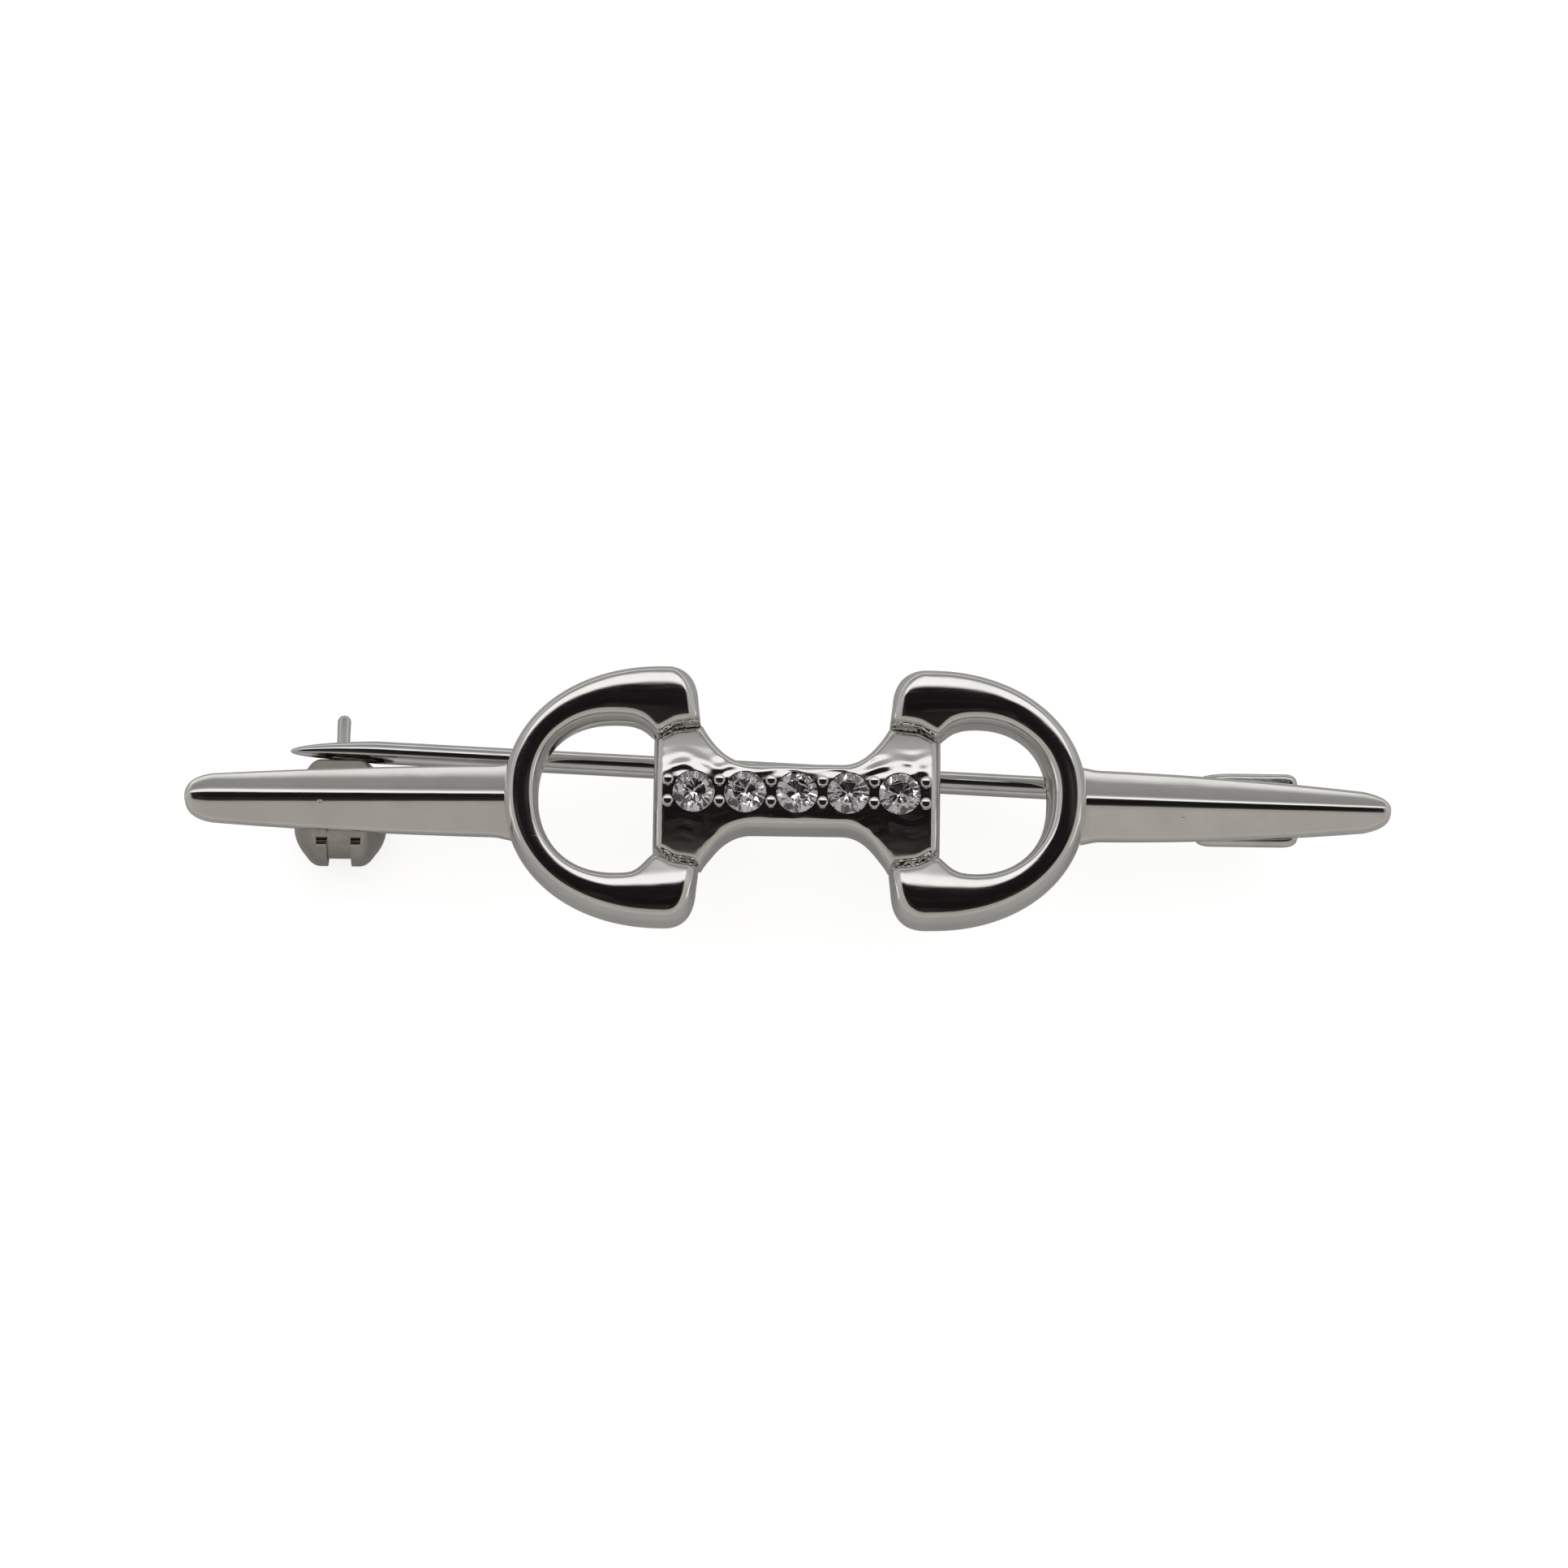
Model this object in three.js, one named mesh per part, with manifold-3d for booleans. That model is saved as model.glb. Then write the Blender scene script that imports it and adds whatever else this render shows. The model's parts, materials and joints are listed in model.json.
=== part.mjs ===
// Stock pin in the form of a snaffle bit: two ridged bars, two D-rings and a stone-set mouthpiece,
// with a swinging pin stem, its riveted hinge and a roll-over safety catch on the back.
// Millimetres, +Z up. It lies on its back: the front faces +Z and the length runs along X.

import * as THREE from 'three';
import { mergeVertices } from 'three/addons/utils/BufferGeometryUtils.js';
import Module from 'manifold-3d';

const wasm = await Module();
wasm.setup();

// Clearances between pieces
const SOLDER_GAP = 0.05;
const RUN_GAP = 0.05;
const SEAT_GAP = 0.04;
const CUT_MARGIN = 1.0;

// Bars, measured from the middle of the mouthpiece
const LEFT_REACH = 32.98;
const RIGHT_REACH = 32.02;
const BAR_ROOT_HALF_WIDTH = 1.95;
const BAR_BELLY_HALF_WIDTH = 1.84;
const LEFT_TIP_HALF_WIDTH = 1.27;
const LEFT_TIP_BLUNTNESS = 1.05;
const RIGHT_TIP_HALF_WIDTH = 1.07;
const RIGHT_TIP_BLUNTNESS = 0.76;
const BAR_TIP_LENGTH = 1.5;
const BAR_FLARE = 0.2;
const BAR_FLARE_LENGTH = 0.7;
const BAR_RIDGE_HEIGHT = 1.65;
const BAR_TIP_RIDGE_HEIGHT = 1.2;
const BAR_EDGE_HEIGHT = 0.62;
const BAR_RIDGE_SOFTNESS = 0.3;
const BAR_TUCK = 1.4;

// D-rings
const RING_APEX_X = 15.75;
const RING_BULB_X = 7.2;
const RING_END_X = 5.12;
const RING_HALF_HEIGHT = 7.22;
const RING_CURVE_POWER = 2.1;
const RING_CORNER = 2.2;
const RING_CORNER_LEAN = 0.2;
const RING_LOW = 0.1;
const RING_THICKNESS = 3.0;
const RING_ROUND_DEPTH = 1.1;
const RING_ROUND_WIDTH = 0.6;
const HOLE_RADIUS = 4.18;
const RING_APEX_WIDTH = 1.9;

// Mouthpiece
const MOUTH_END_X = 7.7;
const MOUTH_END_HALF = 3.05;
const MOUTH_CORNER_X = 6.6;
const MOUTH_CORNER_HALF = 3.72;
const MOUTH_SHOULDER_X = 5.1;
const MOUTH_SHOULDER_HALF = 3.92;
const NECK_X = 2.4;
const NECK_HALF = 1.72;
const NECK_SWEEP_X = 4.0;
const MOUTH_THICKNESS = 2.95;
const MOUTH_TABLE_HALF = 1.35;
const MOUTH_FLANK_DROP = 0.6;

// Stones and their claws
const STONE_COUNT = 5;
const STONE_PITCH = 2.77;
const STONE_RADIUS = 1.2;
const STONE_TABLE_RADIUS = 0.68;
const STONE_GIRDLE = 0.08;
const STONE_CROWN = 0.36;
const STONE_PAVILION = 1.05;
const STONE_SINK = 0.12;
const STONE_SIDES = 16;
const LIGHT_HOLE_RADIUS = 0.55;
const CLAW_RADIUS = 0.2;
const CLAW_HEAD_RADIUS = 0.27;
const CLAW_HEAD_HEIGHT = 0.33;
const CLAW_DOME_HEIGHT = 0.18;
const CLAW_DOME_EDGE = 0.13;
const CLAW_DOME_RADIUS = 0.19;
const CLAW_DEPTH = 0.9;
const CLAW_OFFSET = 0.58;

// Roll-over catch, its axis along X behind the left bar
const CATCH_X = -24.7;
const CATCH_AXIS_DEPTH = 2.6;
const CATCH_RADIUS = 2.93;
const CATCH_HALF_LENGTH = 2.45;
const CATCH_CURVE_POWER = 3.3;
const CATCH_END_RADIUS = 1.25;
const CATCH_BORE_HALF = 1.35;
const CATCH_WALL = 0.36;
const CATCH_REST_OFFSET = 2.55;
const ROLLER_WALL = 0.65;
const MOUTH_SLACK = 0.13;
const MOUTH_BACK_STOP = 0.75;
const LEVER_SLOT = 1.3;
const LEVER_SLOT_START = -10;
const LEVER_SLOT_END = 220;
const LEVER_LEAN = 16;
const LEVER_REACH = 6.09;
const LEVER_WIDTH = 0.8;
const LEVER_THICKNESS = 0.6;
const TANG_THICKNESS = 0.4;
const TANG_WIDTH = 0.5;

// Pin stem and hinge, behind the right bar
const HINGE_X = 24.25;
const HINGE_Y = 1.28;
const STEM_REST_ANGLE = 2.35;
const STEM_DEPTH = 2.0;
const STEM_RADIUS = 0.59;
const STEM_PAST_CATCH = 0.2;
const STEM_POINT_LENGTH = 3.8;
const EYE_RADIUS = 1.15;
const EYE_THICKNESS = 0.8;
const PAD_LENGTH = 5.55;
const PAD_LOW_Y = -1.83;
const PAD_HIGH_Y = 2.22;
const PAD_CORNER = 0.8;
const PAD_THICKNESS = 0.8;
const RIVET_RADIUS = 0.5;
const RIVET_SHOULDER_RADIUS = 0.72;
const RIVET_TAIL = 0.6;
const RIVET_HEAD_RADIUS = 0.95;
const RIVET_HEAD_THICKNESS = 0.55;
const WASHER_RADIUS = 1.05;
const WASHER_THICKNESS = 0.35;

// Facets on round work
const ROUND_SIDES = 24;
const SMALL_SIDES = 12;
const CURVE_STEPS = 12;

// Heights that follow from the sizes above, from the plane of the bars' backs
const BACK_HEIGHT = CATCH_AXIS_DEPTH + CATCH_REST_OFFSET;
const CENTRE_SHIFT = (LEFT_REACH - RIGHT_REACH) / 2;
const GIRDLE_HEIGHT = MOUTH_THICKNESS - STONE_SINK;
const HOLE_X = RING_APEX_X - RING_APEX_WIDTH - HOLE_RADIUS;
const BORE_RADIUS = CATCH_RADIUS - CATCH_WALL;
const ROLLER_RADIUS = BORE_RADIUS - RUN_GAP;
const EYE_FRONT = STEM_DEPTH - EYE_THICKNESS / 2;
const EYE_BACK = STEM_DEPTH + EYE_THICKNESS / 2;
const STEM_OVER_AXIS = CATCH_AXIS_DEPTH - STEM_DEPTH;
const STEM_LENGTH = HINGE_X - CATCH_X + CATCH_HALF_LENGTH + STEM_PAST_CATCH;
const MOUTH_HALF = STEM_RADIUS + MOUTH_SLACK;

const silver = { color: 0xc9c8c4, metalness: 1.0, roughness: 0.12 };
const brilliant = { color: 0xf3f4f8, metalness: 0.0, roughness: 0.02 };

// Signed volume of a closed indexed mesh, positive where its faces point out
function signedVolume(positions, index) {
  const a = new THREE.Vector3();
  const b = new THREE.Vector3();
  const c = new THREE.Vector3();
  let sum = 0;
  for (let i = 0; i < index.length; i += 3) {
    a.fromArray(positions, index[i] * 3);
    b.fromArray(positions, index[i + 1] * 3);
    c.fromArray(positions, index[i + 2] * 3);
    sum += a.dot(b.cross(c)) / 6;
  }
  return sum;
}

// A closed geometry as a solid that can be joined and cut
function solid(geometry) {
  const bare = geometry.clone();
  bare.deleteAttribute('normal');
  bare.deleteAttribute('uv');
  const merged = mergeVertices(bare, 1e-5);
  const positions = merged.getAttribute('position').array;
  const source = merged.getIndex().array;
  const kept = [];
  for (let i = 0; i < source.length; i += 3) {
    const [a, b, c] = [source[i], source[i + 1], source[i + 2]];
    if (a !== b && b !== c && c !== a) kept.push(a, b, c);
  }
  if (signedVolume(positions, kept) < 0) kept.reverse();
  const vertProperties = Float32Array.from(positions);
  const triVerts = Uint32Array.from(kept);
  return new wasm.Manifold(new wasm.Mesh({ numProp: 3, vertProperties, triVerts }));
}

// A solid as a named mesh with its own material
function piece(name, body, look) {
  const { vertProperties, triVerts } = body.getMesh();
  const geometry = new THREE.BufferGeometry();
  geometry.setAttribute('position', new THREE.BufferAttribute(vertProperties, 3));
  geometry.setIndex(new THREE.BufferAttribute(triVerts, 1));
  geometry.computeVertexNormals();
  const mesh = new THREE.Mesh(geometry, new THREE.MeshStandardMaterial(look));
  mesh.name = name;
  return mesh;
}

// A shape drawn in X and Y, raised from one height to another
function raised(shape, low, high) {
  const options = { depth: high - low, bevelEnabled: false, curveSegments: CURVE_STEPS };
  return new THREE.ExtrudeGeometry(shape, options).translate(0, 0, low);
}

// A shape drawn in Y and Z, run along X from one place to another
function runAlongX(shape, start, end) {
  const options = { depth: end - start, bevelEnabled: false, curveSegments: CURVE_STEPS };
  const turn = new THREE.Matrix4().makeBasis(
    new THREE.Vector3(0, 1, 0),
    new THREE.Vector3(0, 0, 1),
    new THREE.Vector3(1, 0, 0),
  );
  return new THREE.ExtrudeGeometry(shape, options).applyMatrix4(turn).translate(start, 0, 0);
}

// A box between two corners
function block(low, high) {
  const size = new THREE.Vector3().subVectors(high, low);
  const middle = new THREE.Vector3().addVectors(low, high).multiplyScalar(0.5);
  return new THREE.BoxGeometry(size.x, size.y, size.z).translate(middle.x, middle.y, middle.z);
}

// A turned body about Z from [radius, height] pairs
function turned(profile, sides = ROUND_SIDES) {
  const points = profile.map(([radius, height]) => new THREE.Vector2(radius, height));
  return new THREE.LatheGeometry(points, sides).rotateX(Math.PI / 2);
}

// A turned body about X from [place, radius] pairs
function turnedAlongX(profile, sides = ROUND_SIDES) {
  const points = profile.map(([place, radius]) => new THREE.Vector2(radius, place));
  return new THREE.LatheGeometry(points, sides).rotateZ(-Math.PI / 2);
}

// Points of the D-ring's outer curve, round the apex from the upper bulb to the lower one
function ringCurve(grow) {
  const reach = RING_APEX_X - RING_BULB_X + grow;
  const rise = RING_HALF_HEIGHT + grow;
  const steps = 2 * ROUND_SIDES;
  const points = [];
  for (let i = 0; i <= steps; i += 1) {
    const angle = Math.PI / 2 - (Math.PI * i) / steps;
    const across = Math.max(Math.cos(angle), 0) ** (2 / RING_CURVE_POWER);
    const up = Math.sign(Math.sin(angle)) * Math.abs(Math.sin(angle)) ** (2 / RING_CURVE_POWER);
    points.push(new THREE.Vector2(RING_BULB_X + reach * across, rise * up));
  }
  return points;
}

// The outline of a bar in plan, its root tucked under the ring's curve
function barOutline(reach, tipHalf, bluntness) {
  const root = RING_APEX_X - BAR_TUCK;
  const flareEnd = RING_APEX_X + BAR_FLARE_LENGTH;
  const tipStart = reach - BAR_TIP_LENGTH;
  const belly = (flareEnd + tipStart) / 2;
  const shape = new THREE.Shape();
  shape.moveTo(root, -BAR_ROOT_HALF_WIDTH - BAR_FLARE);
  shape.lineTo(RING_APEX_X - BAR_FLARE_LENGTH, -BAR_ROOT_HALF_WIDTH - BAR_FLARE);
  shape.quadraticCurveTo(RING_APEX_X, -BAR_ROOT_HALF_WIDTH, flareEnd, -BAR_ROOT_HALF_WIDTH);
  shape.quadraticCurveTo(belly, -BAR_BELLY_HALF_WIDTH, tipStart, -tipHalf);
  shape.quadraticCurveTo(reach, -bluntness, reach, 0);
  shape.quadraticCurveTo(reach, bluntness, tipStart, tipHalf);
  shape.quadraticCurveTo(belly, BAR_BELLY_HALF_WIDTH, flareEnd, BAR_ROOT_HALF_WIDTH);
  shape.quadraticCurveTo(
    RING_APEX_X,
    BAR_ROOT_HALF_WIDTH,
    RING_APEX_X - BAR_FLARE_LENGTH,
    BAR_ROOT_HALF_WIDTH + BAR_FLARE,
  );
  shape.lineTo(root, BAR_ROOT_HALF_WIDTH + BAR_FLARE);
  return shape;
}

// The roof section of a bar: two facets and a softened ridge
function barSection() {
  const half = BAR_ROOT_HALF_WIDTH + BAR_FLARE + CUT_MARGIN;
  const fall = (BAR_RIDGE_HEIGHT - BAR_EDGE_HEIGHT) / BAR_ROOT_HALF_WIDTH;
  const peak = BAR_RIDGE_HEIGHT + (fall * BAR_RIDGE_SOFTNESS) / 2;
  const brow = peak - fall * BAR_RIDGE_SOFTNESS;
  const eave = peak - fall * half;
  const shape = new THREE.Shape();
  shape.moveTo(-half, -CUT_MARGIN);
  shape.lineTo(half, -CUT_MARGIN);
  shape.lineTo(half, eave);
  shape.lineTo(BAR_RIDGE_SOFTNESS, brow);
  shape.quadraticCurveTo(0, peak, -BAR_RIDGE_SOFTNESS, brow);
  shape.lineTo(-half, eave);
  return shape;
}

// The bar's roof, its ridge falling from the ring towards the tip
function barRoof(reach) {
  const length = reach - RING_APEX_X;
  const fall = Math.atan2(BAR_RIDGE_HEIGHT - BAR_TIP_RIDGE_HEIGHT, length);
  const roof = runAlongX(barSection(), -RING_APEX_X, length + CUT_MARGIN);
  return solid(roof.rotateY(fall).translate(RING_APEX_X, 0, 0));
}

// A bar on the +X side
function bar(reach, tipHalf, bluntness) {
  const outline = barOutline(reach, tipHalf, bluntness);
  const plan = solid(raised(outline, 0, BAR_RIDGE_HEIGHT + CUT_MARGIN));
  const roof = barRoof(reach);
  const ringRoom = new THREE.Shape(ringCurve(SOLDER_GAP));
  const room = solid(raised(ringRoom, -CUT_MARGIN, BAR_RIDGE_HEIGHT + 2 * CUT_MARGIN));
  return plan.intersect(roof).subtract(room);
}

// The mouthpiece's corner on one side, grown outwards by a gap
function cornerPoints(grow) {
  return [
    new THREE.Vector2(MOUTH_END_X + grow, MOUTH_END_HALF + grow),
    new THREE.Vector2(MOUTH_CORNER_X, MOUTH_CORNER_HALF + grow),
    new THREE.Vector2(MOUTH_SHOULDER_X, MOUTH_SHOULDER_HALF + grow),
  ];
}

// The room that the mouthpiece's flared end needs between the two bulbs of a ring
function mouthRoom() {
  const upper = cornerPoints(SOLDER_GAP);
  const inner = RING_END_X - CUT_MARGIN;
  const top = new THREE.Vector2(inner, MOUTH_SHOULDER_HALF + SOLDER_GAP);
  const outline = [...upper, top];
  const mirrored = outline.map((point) => new THREE.Vector2(point.x, -point.y)).reverse();
  const shape = new THREE.Shape([...outline, ...mirrored]);
  return solid(raised(shape, -CUT_MARGIN, RING_LOW + RING_THICKNESS + CUT_MARGIN));
}

// The hole of a D-ring: round, with its wall swelling inwards at half thickness
function ringHole() {
  const top = RING_LOW + RING_THICKNESS;
  const steps = CURVE_STEPS / 3;
  const profile = [[0, RING_LOW - CUT_MARGIN]];
  profile.push([HOLE_RADIUS + RING_ROUND_WIDTH, RING_LOW - CUT_MARGIN]);
  for (let i = 0; i <= steps; i += 1) {
    const angle = (Math.PI / 2) * (i / steps);
    const radius = HOLE_RADIUS + RING_ROUND_WIDTH * (1 - Math.sin(angle));
    profile.push([radius, RING_LOW + RING_ROUND_DEPTH * (1 - Math.cos(angle))]);
  }
  for (let i = 0; i <= steps; i += 1) {
    const angle = (Math.PI / 2) * (i / steps);
    const radius = HOLE_RADIUS + RING_ROUND_WIDTH * (1 - Math.cos(angle));
    profile.push([radius, top - RING_ROUND_DEPTH * (1 - Math.sin(angle))]);
  }
  profile.push([HOLE_RADIUS + RING_ROUND_WIDTH, top + CUT_MARGIN]);
  profile.push([0, top + CUT_MARGIN]);
  const round = solid(turned(profile, 2 * ROUND_SIDES).translate(HOLE_X, 0, 0));
  const low = new THREE.Vector3(0, -RING_HALF_HEIGHT, RING_LOW - 2 * CUT_MARGIN);
  const high = new THREE.Vector3(MOUTH_END_X + SOLDER_GAP, RING_HALF_HEIGHT, top + 2 * CUT_MARGIN);
  return round.subtract(solid(block(low, high)));
}

// A D-ring on the +X side, rounded front and back, open towards the mouthpiece
function dRing() {
  const shape = new THREE.Shape();
  const lean = RING_END_X + RING_CORNER_LEAN;
  shape.moveTo(RING_END_X, RING_HALF_HEIGHT - RING_CORNER);
  shape.quadraticCurveTo(lean, RING_HALF_HEIGHT, RING_BULB_X, RING_HALF_HEIGHT);
  for (const point of ringCurve(0).slice(1)) shape.lineTo(point.x, point.y);
  shape.quadraticCurveTo(lean, -RING_HALF_HEIGHT, RING_END_X, RING_CORNER - RING_HALF_HEIGHT);
  const plate = new THREE.ExtrudeGeometry(shape, {
    depth: RING_THICKNESS - 2 * RING_ROUND_DEPTH,
    bevelEnabled: true,
    bevelThickness: RING_ROUND_DEPTH,
    bevelSize: RING_ROUND_WIDTH,
    bevelOffset: -RING_ROUND_WIDTH,
    bevelSegments: CURVE_STEPS / 3,
    curveSegments: CURVE_STEPS / 2,
  });
  plate.translate(0, 0, RING_LOW + RING_ROUND_DEPTH);
  return solid(plate).subtract(ringHole()).subtract(mouthRoom());
}

// The mouthpiece in plan: flared ends with cut corners and a waisted neck
function mouthOutline() {
  const shape = new THREE.Shape();
  const [end, corner, shoulder] = cornerPoints(0);
  shape.moveTo(end.x, -end.y);
  shape.lineTo(end.x, end.y);
  shape.lineTo(corner.x, corner.y);
  shape.lineTo(shoulder.x, shoulder.y);
  shape.quadraticCurveTo(NECK_SWEEP_X, NECK_HALF, NECK_X, NECK_HALF);
  shape.lineTo(-NECK_X, NECK_HALF);
  shape.quadraticCurveTo(-NECK_SWEEP_X, NECK_HALF, -shoulder.x, shoulder.y);
  shape.lineTo(-corner.x, corner.y);
  shape.lineTo(-end.x, end.y);
  shape.lineTo(-end.x, -end.y);
  shape.lineTo(-corner.x, -corner.y);
  shape.lineTo(-shoulder.x, -shoulder.y);
  shape.quadraticCurveTo(-NECK_SWEEP_X, -NECK_HALF, -NECK_X, -NECK_HALF);
  shape.lineTo(NECK_X, -NECK_HALF);
  shape.quadraticCurveTo(NECK_SWEEP_X, -NECK_HALF, shoulder.x, -shoulder.y);
  shape.lineTo(corner.x, -corner.y);
  return shape;
}

// The mouthpiece's section: a flat table for the stones and flanks that fall away from it
function mouthSection() {
  const shape = new THREE.Shape();
  shape.moveTo(-MOUTH_SHOULDER_HALF, 0);
  shape.lineTo(MOUTH_SHOULDER_HALF, 0);
  shape.lineTo(MOUTH_SHOULDER_HALF, MOUTH_THICKNESS - MOUTH_FLANK_DROP);
  shape.lineTo(MOUTH_TABLE_HALF, MOUTH_THICKNESS);
  shape.lineTo(-MOUTH_TABLE_HALF, MOUTH_THICKNESS);
  shape.lineTo(-MOUTH_SHOULDER_HALF, MOUTH_THICKNESS - MOUTH_FLANK_DROP);
  return shape;
}

// Places of the stones along the mouthpiece
function stonePlaces() {
  const first = (-(STONE_COUNT - 1) * STONE_PITCH) / 2;
  return Array.from({ length: STONE_COUNT }, (_, i) => first + i * STONE_PITCH);
}

// Places of the claws, a pair before each stone and one after the last
function clawPlaces() {
  const first = (-STONE_COUNT * STONE_PITCH) / 2;
  const places = [];
  for (let i = 0; i <= STONE_COUNT; i += 1) {
    const x = first + i * STONE_PITCH;
    places.push([x, CLAW_OFFSET], [x, -CLAW_OFFSET]);
  }
  return places;
}

// The cutter for one stone's seat, with a light hole through to the back
function seatCutter(x) {
  const mouth = STONE_RADIUS + SEAT_GAP;
  const sunk = SEAT_GAP * 2;
  const slope = STONE_PAVILION / STONE_RADIUS;
  const narrow = GIRDLE_HEIGHT - sunk - (mouth - LIGHT_HOLE_RADIUS) * slope;
  const profile = [
    [0, -CUT_MARGIN],
    [LIGHT_HOLE_RADIUS, -CUT_MARGIN],
    [LIGHT_HOLE_RADIUS, narrow],
    [mouth, GIRDLE_HEIGHT - sunk],
    [mouth, MOUTH_THICKNESS + CUT_MARGIN],
    [0, MOUTH_THICKNESS + CUT_MARGIN],
  ];
  return solid(turned(profile).translate(x, 0, 0));
}

// The cutter for one claw's hole
function clawCutter(x, y) {
  const radius = CLAW_RADIUS + SEAT_GAP;
  const floor = MOUTH_THICKNESS - CLAW_DEPTH - SEAT_GAP;
  const profile = [
    [0, floor],
    [radius, floor],
    [radius, MOUTH_THICKNESS + CUT_MARGIN],
    [0, MOUTH_THICKNESS + CUT_MARGIN],
  ];
  return solid(turned(profile, SMALL_SIDES).translate(x, y, 0));
}

function mouthpiece() {
  let body = solid(raised(mouthOutline(), 0, MOUTH_THICKNESS + CUT_MARGIN));
  const section = solid(runAlongX(mouthSection(), -MOUTH_END_X - CUT_MARGIN, MOUTH_END_X + CUT_MARGIN));
  body = body.intersect(section);
  for (const x of stonePlaces()) body = body.subtract(seatCutter(x));
  for (const [x, y] of clawPlaces()) body = body.subtract(clawCutter(x, y));
  return body;
}

// A round brilliant, culet down
function stone(x) {
  const crown = GIRDLE_HEIGHT + STONE_GIRDLE;
  const profile = [
    [0, GIRDLE_HEIGHT - STONE_PAVILION],
    [STONE_RADIUS, GIRDLE_HEIGHT],
    [STONE_RADIUS, crown],
    [STONE_TABLE_RADIUS, crown + STONE_CROWN],
    [0, crown + STONE_CROWN],
  ];
  return solid(turned(profile, STONE_SIDES).translate(x, 0, 0));
}

// A claw wire with a domed head
function claw(x, y) {
  const seat = MOUTH_THICKNESS + SEAT_GAP;
  const foot = MOUTH_THICKNESS - CLAW_DEPTH;
  const profile = [
    [0, foot],
    [CLAW_RADIUS, foot],
    [CLAW_RADIUS, seat],
    [CLAW_HEAD_RADIUS, seat],
    [CLAW_HEAD_RADIUS, seat + CLAW_HEAD_HEIGHT - CLAW_DOME_HEIGHT],
    [CLAW_DOME_RADIUS, seat + CLAW_HEAD_HEIGHT - CLAW_DOME_HEIGHT + CLAW_DOME_EDGE],
    [0, seat + CLAW_HEAD_HEIGHT],
  ];
  return solid(turned(profile, SMALL_SIDES).translate(x, y, 0));
}

// The mouth that lets the stem into the catch from the +Y side, about the catch's own axis
function catchMouth(widen, stop) {
  const reach = CATCH_HALF_LENGTH + CUT_MARGIN;
  const half = MOUTH_HALF + widen;
  const low = new THREE.Vector3(-reach, stop, STEM_OVER_AXIS - half);
  const high = new THREE.Vector3(reach, CATCH_RADIUS + CUT_MARGIN, STEM_OVER_AXIS + half);
  return solid(block(low, high));
}

// The slot that the lever sweeps along, round the back of the catch
function leverSlot() {
  const far = 2 * CATCH_RADIUS;
  const steps = ROUND_SIDES;
  const shape = new THREE.Shape();
  shape.moveTo(0, 0);
  for (let i = 0; i <= steps; i += 1) {
    const degrees = LEVER_SLOT_START + ((LEVER_SLOT_END - LEVER_SLOT_START) * i) / steps;
    const angle = THREE.MathUtils.degToRad(-degrees);
    shape.lineTo(far * Math.cos(angle), far * Math.sin(angle));
  }
  return solid(runAlongX(shape, -LEVER_SLOT / 2, LEVER_SLOT / 2));
}

// The rounded outside of the catch's barrel, from its middle to one end
function catchOutside() {
  const narrow = CATCH_END_RADIUS / CATCH_RADIUS;
  const spread = (1 - narrow ** CATCH_CURVE_POWER) ** (1 / CATCH_CURVE_POWER);
  const steps = CURVE_STEPS / 2;
  const points = [];
  for (let i = 1; i <= steps; i += 1) {
    const angle = (Math.PI / 2) * (1 - i / (steps + 1));
    const radius = CATCH_RADIUS * Math.sin(angle) ** (2 / CATCH_CURVE_POWER);
    const place = (CATCH_HALF_LENGTH / spread) * Math.cos(angle) ** (2 / CATCH_CURVE_POWER);
    if (radius > CATCH_END_RADIUS) points.push([place, radius]);
  }
  return points;
}

// The catch's body about its own axis: a barrel with a bore, a mouth, the slot and two flats
function catchBody() {
  const endHole = CATCH_END_RADIUS - CATCH_WALL;
  const half = [
    ...catchOutside(),
    [CATCH_HALF_LENGTH, CATCH_END_RADIUS],
    [CATCH_HALF_LENGTH, endHole],
    [CATCH_HALF_LENGTH - CATCH_WALL, endHole],
    [CATCH_BORE_HALF, BORE_RADIUS],
  ];
  const other = half.map(([place, radius]) => [-place, radius]).reverse();
  const barrel = solid(turnedAlongX([...half, ...other, half[0]], 2 * ROUND_SIDES));
  const wide = CATCH_RADIUS + CUT_MARGIN;
  const top = CATCH_AXIS_DEPTH - SOLDER_GAP;
  const slab = solid(block(
    new THREE.Vector3(-wide, -wide, -CATCH_REST_OFFSET),
    new THREE.Vector3(wide, wide, top),
  ));
  const mouth = catchMouth(0, -MOUTH_BACK_STOP);
  return barrel.intersect(slab).subtract(mouth).subtract(leverSlot());
}

// A lever or hole outline leaning back from +Y, between two distances from the catch's axis
function leaned(thickness, near, far, rounded) {
  const half = thickness / 2;
  const shape = new THREE.Shape();
  shape.moveTo(near, -half);
  shape.lineTo(far - (rounded ? half : 0), -half);
  if (rounded) shape.absarc(far - half, 0, half, -Math.PI / 2, Math.PI / 2, false);
  else shape.lineTo(far, half);
  shape.lineTo(near, half);
  return shape;
}

// Turns a lever shape, drawn along +Y, back by its lean
function lean(geometry) {
  return geometry.rotateX(THREE.MathUtils.degToRad(-LEVER_LEAN));
}

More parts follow.
